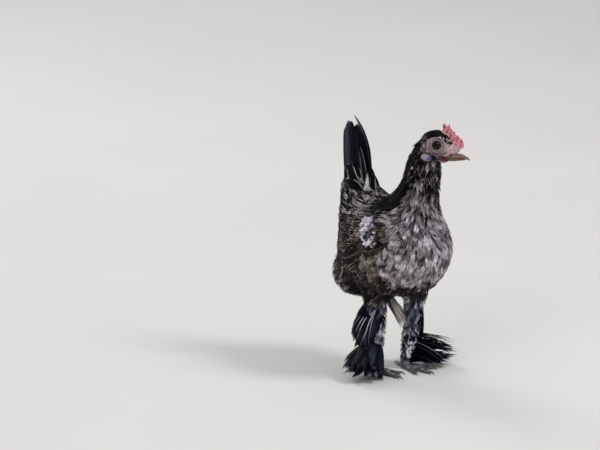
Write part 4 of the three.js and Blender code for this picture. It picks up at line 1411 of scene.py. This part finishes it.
TAIL_FEATHERS = 6  # on each side
TAIL_SPACING = 1.9  # from one to the next, outwards
TAIL_REAR = {"root": 16, "tip": 10}  # how far the outer pair stands behind the middle pair
TAIL_BACK = 13  # how far back they lean
TAIL_TOP = 60.5
TAIL_STEPS = [-14, -9, -1.5, 4, 4.5, -2]  # heights past the top, from the middle pair to the outer pair
SICKLE = [(4.5, 31, 190), (5, 34, 215), (5, 37, 235), (4.2, 40.5, 249), (2.8, 45.5, 262), (0.4, 54, 274)]
SICKLE_SHORT = {1: 0, -1: 20}  # the sickle on her right side is not full grown
LEFT_SHORT = 6  # her left side of the tail stands this much lower


def tail():
    """A steep roof of stiff feathers: its middle pair in front on the ridge, the outer pairs behind."""
    coat = Coat("tail_feathers", "feather_black")
    _, y, z = TAIL_ROOT
    black = {"base": [(20, 17, 25), (30, 27, 36), (48, 43, 55)], "mark": (96, 92, 104), "shaft": (1, 0.4),
             "camber": 0.06, "fray": 0.006, "blades": 9, "rings": 12, "thick": 0.5}  # fmt: skip
    laced = black | {"mark": (158, 152, 162), "lace": (1, 0.9), "fine": 1.5}
    for sign in SIDES.values():
        n = np.arange(TAIL_FEATHERS)
        t = n / (TAIL_FEATHERS - 1)
        root = np.stack([sign * (1 + TAIL_SPACING * n), y - 1 + TAIL_REAR["root"] * t, z - 14 + 0 * t], 1)
        top = z + TAIL_TOP + np.array(TAIL_STEPS) - (LEFT_SHORT if sign > 0 else 0)
        tip = np.stack([sign * (1 + TAIL_SPACING * 0.7 * n), y + TAIL_BACK + TAIL_REAR["tip"] * t, top], 1)
        lines = arched(root, tip, [sign * 1.2, 2.5, 0], 14)
        outward = np.tile([sign * 1.0, 0.12, 0.0], (TAIL_FEATHERS, 1))
        spread(coat, lines, outward, width=13, tip="quill", **black)
        sickle = curve(np.array(SICKLE) * (sign, 1, 1) - (0, 0, SICKLE_SHORT[sign]), 20)[None]
        spread(coat, sickle, [(sign, -0.3, 0)], width=14, tip="sickle", **laced)
    coat.finish()
    for obj in pieces_named("tail_feathers"):
        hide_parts(*(f"tail_feather_{side}_{k + 1}" for side in SIDES for k in range(TAIL_FEATHERS)))


def pieces_named(start):
    """The meshes of the hen made so far whose names begin with start."""
    meshes = [obj for obj in bpy.data.objects if obj.type == "MESH" and obj.get("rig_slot")]
    return [obj for obj in meshes if obj.name.startswith(start)]


TAIL_FOOT = (0, 46)  # the tail's middle where it leaves the saddle
TAIL_FOOT_HALF = (13.5, 17)  # and its half sizes there
COVERT_ROWS = [  # feathers around the tail, height of root, length, how far out, width
    (16, 184, 29, 1.1, 10.5),
    (15, 190, 36, 1.02, 10.5),
    (13, 196, 43, 0.92, 10.0),
]
COVERT_REACH = [(-0.9, 0.5), (-0.2, 1), (0.2, 1), (0.9, 0.42)]  # how far ahead a root is, share of the length
COVERT_CLOSING = 0.66  # how near the tail's middle the tips of its coverts stand
COVERT_BOW = 0.16
LAPS = [  # broad laced feathers that lap over the tail's foot on either side: places along each, and width
    ([(-13, 26, 193), (-18, 40, 203), (-15, 54, 201)], 13),
    ([(-12, 32, 196), (-16, 40, 209), (-13, 49, 224)], 12),
    ([(-6, 51, 186), (-8, 59, 194), (-6, 66, 199)], 11),
]
PLUME_EDGE = [(-1, 24.5, 185), (-3, 23, 200), (1, 26.5, 213)], 8  # a dark feather in front of the plume
PLUME = 12


def coverts():
    """Curved laced feathers that sheathe the foot of the tail."""
    coat = Coat("tail_coverts", "feather_black")
    half_wide, half_long = TAIL_FOOT_HALF
    for count, level, length, out, wide in COVERT_ROWS:
        turn = (np.arange(count) + RNG.uniform(-0.3, 0.3, count)) / count * 2 * math.pi
        flat = 0 * turn
        ring = np.stack([np.sin(turn) * half_wide, -np.cos(turn) * half_long, flat], 1) * out
        root = ring + [*TAIL_FOOT, level]
        reach = length * RNG.uniform(0.75, 1.1, count) * np.interp(np.cos(turn), *np.transpose(COVERT_REACH))
        aside = RNG.normal(0, 2.5, count) * np.abs(np.sin(turn))
        tip = ring * COVERT_CLOSING + np.stack([flat, TAIL_FOOT[1] + 5 + aside, level + reach], 1)
        middle = mix(root, tip, 0.5) + ring * COVERT_BOW + np.stack([flat, -0.8 * aside, flat], 1)
        outward = unit(ring / np.array([half_wide**2, half_long**2, 1]))
        spread(coat, bowed(root, middle, tip, 11), outward, width=wide, tip="blade", rings=9, blades=6,
               fray=0.06, camber=0.25, base=[(11, 9, 12), (17, 15, 19)], mark=(232, 227, 234),
               lace=(0.85, 1), fine=1.6, shaft=(0.1, 0.5))  # fmt: skip
    laps = [(np.multiply(at, (-sign, 1, 1)), wide, sign) for at, wide in LAPS for sign in SIDES.values()]
    for at, wide, sign in laps + [(*PLUME_EDGE, -1)]:
        spread(coat, curve(at, 13)[None], [(sign, -0.35, 0.1)], width=wide, tip="blade", rings=11, blades=9,
               fray=0.03, camber=0.3, base=[(9, 7, 10), (14, 12, 15)], mark=(214, 208, 214),
               lace=(1, 1), fine=1.5)  # fmt: skip
    pale_plume(coat)
    coat.finish()


def pale_plume(coat):
    """A pale downy plume at the front of the tail's foot, on her right side."""
    t = np.linspace(0, 1, PLUME)
    root = np.stack([-mix(13, 3.5, t), mix(28.5, 22.5, t), 188 + RNG.uniform(0, 4, PLUME)], 1)
    rise = 9 + 24 * bump((t - 0.42) / 0.3) * RNG.uniform(0.8, 1.1, PLUME)
    tip = mix(root, [-7.5, 26.5, 0], 0.7)
    tip[:, 2] = root[:, 2] + rise
    spread(coat, arched(root, tip, [-1.5, -2.5, 0], 9), np.tile([-0.8, -1, 0], (PLUME, 1)),
           width=3.2, tip="lance", blades=4, rings=8, fray=0.3, mark=(60, 56, 62), fleck=(0.3, 0.5),
           base=[(246, 243, 248), (214, 209, 217), (234, 230, 237)])  # fmt: skip


HOCK_FEATHERS = 84
HOCK_FAN = [(2, 27, 20), (4, 26, 34), (5, 18, 45), (5, 6, 48), (3, -6, 40)]  # tips: out, back and down
BOOT_FEATHERS = 130
BOOT = [(16, 35, 8), (38, 36, 18), (48, 27, 24), (50, 9, 15), (38, -12, 11)]  # tips: out, ahead, height
PALE_VANES = {"hock": 7, "boot": 8}  # a few pale shafts among the black feathers
INNER_TUFT = 48


def along_rows(table, t):
    """Rows of a table of tips, read smoothly at t from 0 to 1."""
    table = np.array(table, float)
    at = t * (len(table) - 1)
    return np.stack([np.interp(at, np.arange(len(table)), table[:, k]) for k in range(table.shape[1])], 1)


def fan(count, table, shortest):
    """Places spread over a fan: where in it from 0 to 1, the tips there, and how long each feather is."""
    t = (np.arange(count) + 0.5) / count
    RNG.shuffle(t)
    return t, along_rows(table, t).T, RNG.uniform(shortest, 1.0, count)


def hock_fan(coat, leg, count, over, **row):
    """Adds feathers that stand out behind and beside the hock; over lifts them clear of the others."""
    sign, hock = leg["sign"], leg["hock"]
    t, (out, back, drop), part = fan(count, HOCK_FAN, 0.62)
    high = RNG.uniform(-10, 26, count)
    turn = np.radians(mix(135, 15, t))
    root = hock + np.stack([sign * 8 * np.sin(turn), -8.5 * np.cos(turn), high], 1)
    tip = hock + [sign * (9 + over), 3, 7] + np.stack([sign * out * part, back * part, -drop * part], 1)
    tip[:, 2] = np.maximum(tip[:, 2] + 0.25 * high, 6)
    middle = (root + tip) / 2 + [sign * (5 + over), 1, 5]
    outward = np.stack([np.full(count, sign), mix(0.9, -0.7, t), np.full(count, 0.2)], 1)
    spread(coat, bowed(root, middle, tip, 11), outward, **row)


def boot(coat, leg, count, over, **row):
    """Adds feathers that spread from the shank over the foot; over lifts them clear of the others."""
    sign, foot = leg["sign"], leg["foot"]
    t, (out, ahead, level), part = fan(count, BOOT, 0.5)
    high = RNG.uniform(0, 1, count)
    turn = np.radians(mix(10, 150, t))
    root = foot + np.stack([sign * 6 * np.sin(turn), -6 * np.cos(turn), mix(-1, 30, high**1.4)], 1)
    tip = foot + [sign * 7, -1, 0] + np.stack([sign * out * part, -ahead * part, 0 * t], 1)
    tip[:, 2] = np.maximum(level * mix(0.4, 1.05, high) + RNG.normal(0, 1.8, count), 2.5)
    middle = (root + tip) / 2 + np.stack([0 * t, 0 * t, 5 + 3 * high + over], 1)
    outward = np.stack([0.25 * sign * np.sin(turn), -0.25 * np.cos(turn), np.ones(count)], 1)
    spread(coat, bowed(root, middle, tip, 11), outward, **row)


def leg_feathers():
    """The feathers of hocks and feet."""
    dark = {"base": [(9, 9, 15), (14, 14, 24), (22, 23, 38), (38, 40, 62)], "mark": (140, 144, 164),
            "fleck": (0.05, 0.6), "shaft": (0.03, 0.7),
            "tip": "blade", "rings": 8, "blades": 6, "fray": 0.12, "camber": 0.1}  # fmt: skip
    pale = {"base": [(150, 152, 166), (206, 208, 218)], "mark": (40, 40, 52),
            "tip": "lance", "rings": 8, "blades": 1, "fray": 0.1, "width": 1.0, "thick": 0.4}  # fmt: skip
    for name, leg in LEGS.items():
        coat = Coat(f"hock_feathers_{name}_vanes", "feather_black")
        hock_fan(coat, leg, HOCK_FEATHERS, 0, width=7.5, **dark)
        hock_fan(coat, leg, PALE_VANES["hock"], 1.5, **pale)
        coat.finish()
        for obj in pieces_named(f"hock_feathers_{name}_vanes"):
            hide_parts(f"hock_feathers_{name}")
        coat = Coat(f"foot_feathers_{name}_vanes", "feather_black")
        boot(coat, leg, BOOT_FEATHERS, 0, width=8, **dark)
        boot(coat, leg, PALE_VANES["boot"], 1, **pale)
        coat.finish()
        for obj in pieces_named(f"foot_feathers_{name}_vanes"):
            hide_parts(f"foot_feathers_{name}")


def inner_tufts():
    """Pale down that hangs from the belly inside each thigh."""
    coat = Coat("inner_tufts", "feather_grey")
    for leg in LEGS.values():
        sign = leg["sign"]
        jitter = RNG.uniform(-1, 1, (3, INNER_TUFT))
        root = [sign * 3, leg["hock"][1] + 20, 80] + (jitter * [[3], [5], [2]]).T
        tip = [sign * 11, leg["hock"][1] + 3, 52] + (jitter * [[6], [4], [12]]).T
        spread(coat, arched(root, tip, [-sign * 2, -1, 0], 8), np.tile([-sign, -0.6, 0], (INNER_TUFT, 1)),
               width=3.0, tip="lance", blades=3, rings=7, fray=0.3, mark=(40, 35, 36), fleck=(0.3, 0.8),
               base=[(128, 119, 115), (204, 196, 190), (236, 231, 226)])  # fmt: skip
    coat.finish()


# ---------------------------------------------------------------- toes and claws
TOES = [(2, 35), (-23, 27), (32, 28), (170, 14)]  # turned out from straight ahead, and length
TOE_RADII = (3.2, 2.0)  # at the foot and at the claw
TOE_CELL = 0.75  # of the grid that the toes are worked out on
TOE_BOX = [(-26, 26), (-42, 22)]  # what a foot's toes take up, across and along, around the ankle
SCUTE = 2.4  # length of a scale on a toe
CLAW_LENGTH = 8
HIND_CLAW = 0.8  # as a share of the others
CLAW_STEPS = 12


def toe_lines(name):
    """Where each toe of a foot starts, its way and its length."""
    leg = LEGS[name]
    for turn, length in TOES:
        heading = math.radians(turn) * leg["sign"]
        along = np.array([math.sin(heading), -math.cos(heading), 0])
        start = np.array([*leg["foot"][:2], 0])
        yield start, along, length


def toes_field(name):
    """Distance to the skin of a foot: its pad, the ankle above it and the scaled toes."""
    lines = list(toe_lines(name))
    x, y, _ = LEGS[name]["foot"]
    pad = melt(2, ellipsoid([x, y, 4], [6, 6.5, 4.6]), tube([x, y, 4, 4.6], [x, y, 16, 4.6]))

    def field(p):
        value = pad(p)
        for start, along, length in lines:
            s = np.clip((p - start) @ along, 0, length)
            radius = mix(*TOE_RADII, s / length) + 0.3 * bump((s - length * 0.45) / 4)
            centre = start + s[:, None] * along + np.array([0, 0, 1.0]) * (radius - 0.35)[:, None]
            off = p - centre
            step = (s / SCUTE) % 1
            top = ramp(off[:, 2], -0.4, 0.8)
            value = smooth_min(value, np.linalg.norm(off, axis=1) - radius - 0.3 * (1 - step) * top, 1.2)
        return np.maximum(value, 0.05 - p[:, 2])

    return field


def feet():
    """Scaled toes with a horn claw on each."""
    for name, leg in LEGS.items():
        reach = [(at + low, at + high) for at, (low, high) in zip(leg["foot"], TOE_BOX)] + [(-1, 18)]
        axes = [spaced((low, TOE_CELL), (high, 0)) for low, high in reach]
        points, quads = net(toes_field(name), axes)
        obj = dressed(make_mesh(f"toes_{name}", points, quads), SCALES, "toe_skin", f"foot_{name}")
        tone = mix(lin(96, 92, 100), lin(150, 146, 152), ramp(ripple(points, 9, 31), 0, 0.8)[:, None])
        paint(obj, "Tint", tone)
        for k, (start, along, length) in enumerate(toe_lines(name)):
            size = CLAW_LENGTH if k < 3 else CLAW_LENGTH * HIND_CLAW
            way = [(-1.2, 2.2), (0.35 * size, 2.9), (0.75 * size, 1.9), (size, 0.6)]  # past the toe, height
            path = curve([start + along * (length + s) + np.array([0, 0, z]) for s, z in way], CLAW_STEPS)
            taper = mix(1.45, 0.25, np.linspace(0, 1, CLAW_STEPS) ** 1.2)
            claw = swept(f"claw_{name}_{k + 1}_horn", path, taper * 0.85, taper, None, 12)
            dressed(claw, CLAW, "horn", f"claw_{name}_{k + 1}")
            paint(claw, "Tint", np.ones((len(claw.data.vertices), 3)))


BROW_DABS = [(8.6, -11.6, 9.6), (7.4, -14.6, 9.4), (6.0, -18.0, 8.6), (5.4, -20.4, 7.4)]  # in head frame
NAPE_TUFT = 30  # feathers in the tuft


def from_head(lines):
    """Lines given in the head's own frame, in the hen's."""
    return world(HEAD, lines.reshape(-1, 3)).reshape(lines.shape)


def head_tufts():
    """Pale dabs on the brow, and a small tuft that stands out at the nape."""
    coat = Coat("head_tufts", "feather_grey")
    root = np.array([(s * x, y, z) for x, y, z in BROW_DABS for s in (1, -1)], float)
    tip = root + [0, 1.2, 3.0]
    away = np.sign(root[:, :1]) * [1, 0, 0] + [0, 0, 0.5]
    spread(coat, from_head(arched(root, tip, [0, -0.3, 0], 5)), away @ HEAD[:3, :3].T, width=1.7, tip="lance",
           blades=2, rings=4, base=[(206, 198, 202)], mark=(60, 54, 58))  # fmt: skip
    t = RNG.random(NAPE_TUFT)
    root = np.c_[RNG.uniform(-6, 6, NAPE_TUFT), mix(11.5, 7, t), mix(-4, 5, t)]
    long = RNG.random(NAPE_TUFT) ** 3
    tip = np.c_[root[:, 0] * 1.3, mix(15.5, 21, long), mix(-8, -4.5, long)]
    spread(coat, from_head(arched(root, tip, [0, 0.8, 1.2], 7)), np.tile(HEAD[:3, 2], (NAPE_TUFT, 1)),
           width=3.0, tip="lance", blades=3, base=[(9, 7, 9), (22, 18, 20)], mark=(130, 122, 124),
           shaft=(0.4, 0.7), fleck=(0.15, 0.6))  # fmt: skip
    coat.finish()


head_tufts()
tail()
coverts()
leg_feathers()
inner_tufts()
feet()


# ---------------------------------------------------------------- camera, light and floor
CAMERA_AZIMUTH = -45
CAMERA_ELEVATION = 15
CAMERA_DISTANCE = 6.0
SENSOR = 36  # mm
FRAME_WIDTH = 0.642  # what the picture's width spans at the hen
AIM_ASIDE = -0.1052
AIM_UP = 0.1585
AIM_NEAR = 0.06  # the middle of the hen is this much nearer the camera than the origin
LAMPS = [  # name, place, size and power
    ("key", (0.75, -1.45, 2.0), 0.65, 26.0),
    ("fill", (-1.9, -0.5, 1.1), 1.6, 12.0),
    ("rim", (0.3, 1.8, 1.5), 1.2, 14.0),
]
LAMPS_AIM = (0, 0, 0.14)  # the middle of the hen
STUDIO_LIGHT = 0.55
FLOOR_SIZE = 8.0


def stage_scene():
    """A camera far off with a long lens, lamps on three sides, an even surrounding light and a floor."""
    azimuth, elevation = math.radians(CAMERA_AZIMUTH), math.radians(CAMERA_ELEVATION)
    right = Vector((math.cos(azimuth), math.sin(azimuth), 0))
    level = math.cos(elevation)
    back = Vector((math.sin(azimuth) * level, -math.cos(azimuth) * level, math.sin(elevation)))
    up = back.cross(right)
    camera = bpy.data.objects.new("camera", bpy.data.cameras.new("camera"))
    bpy.context.scene.collection.objects.link(camera)
    camera.location = right * AIM_ASIDE + up * AIM_UP + back * (AIM_NEAR + CAMERA_DISTANCE)
    camera.rotation_euler = Matrix((right, up, back)).transposed().to_euler()
    camera.data.sensor_width = SENSOR
    camera.data.lens = SENSOR * CAMERA_DISTANCE / FRAME_WIDTH
    bpy.context.scene.camera = camera

    floor = make_floor()
    floor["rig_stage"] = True
    for name, at, size, power in LAMPS:
        lamp = bpy.data.objects.new(name, bpy.data.lights.new(name, "AREA"))
        bpy.context.scene.collection.objects.link(lamp)
        lamp.location = at
        lamp.rotation_euler = (Vector(LAMPS_AIM) - Vector(at)).to_track_quat("-Z", "Y").to_euler()
        lamp.data.shape = "DISK"
        lamp.data.size = size
        lamp.data.energy = power
        lamp.visible_glossy = name != "fill"  # one clear glint in the eye
    studio = bpy.data.worlds.new("studio")
    studio.use_nodes = True
    background = studio.node_tree.nodes["Background"].inputs
    background["Color"].default_value = (0.95, 0.95, 0.97, 1)
    background["Strength"].default_value = STUDIO_LIGHT
    bpy.context.scene.world = studio
    bpy.context.scene.view_settings.view_transform = "Standard"


def make_floor():
    """A wide pale square, faintly mottled."""
    mesh = bpy.data.meshes.new("floor")
    half = FLOOR_SIZE / 2
    corners = [(-half, -half, 0), (half, -half, 0), (half, half, 0), (-half, half, 0)]
    mesh.from_pydata(corners, [], [(0, 1, 2, 3)])
    floor = bpy.data.objects.new("floor", mesh)
    bpy.context.scene.collection.objects.link(floor)
    g = Graph("floor", roughness=0.9)
    patches = g.noise(g.place(), 3.0, 4.0)
    mesh.materials.append(g.finish(g.mix(tuple(lin(214, 212, 208)), tuple(lin(222, 221, 218)), patches)))
    return floor


stage_scene()

boxes = {name: [list(corner) for corner in box] for name, box in (("cad", CAD_BOX), ("visual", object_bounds()))}
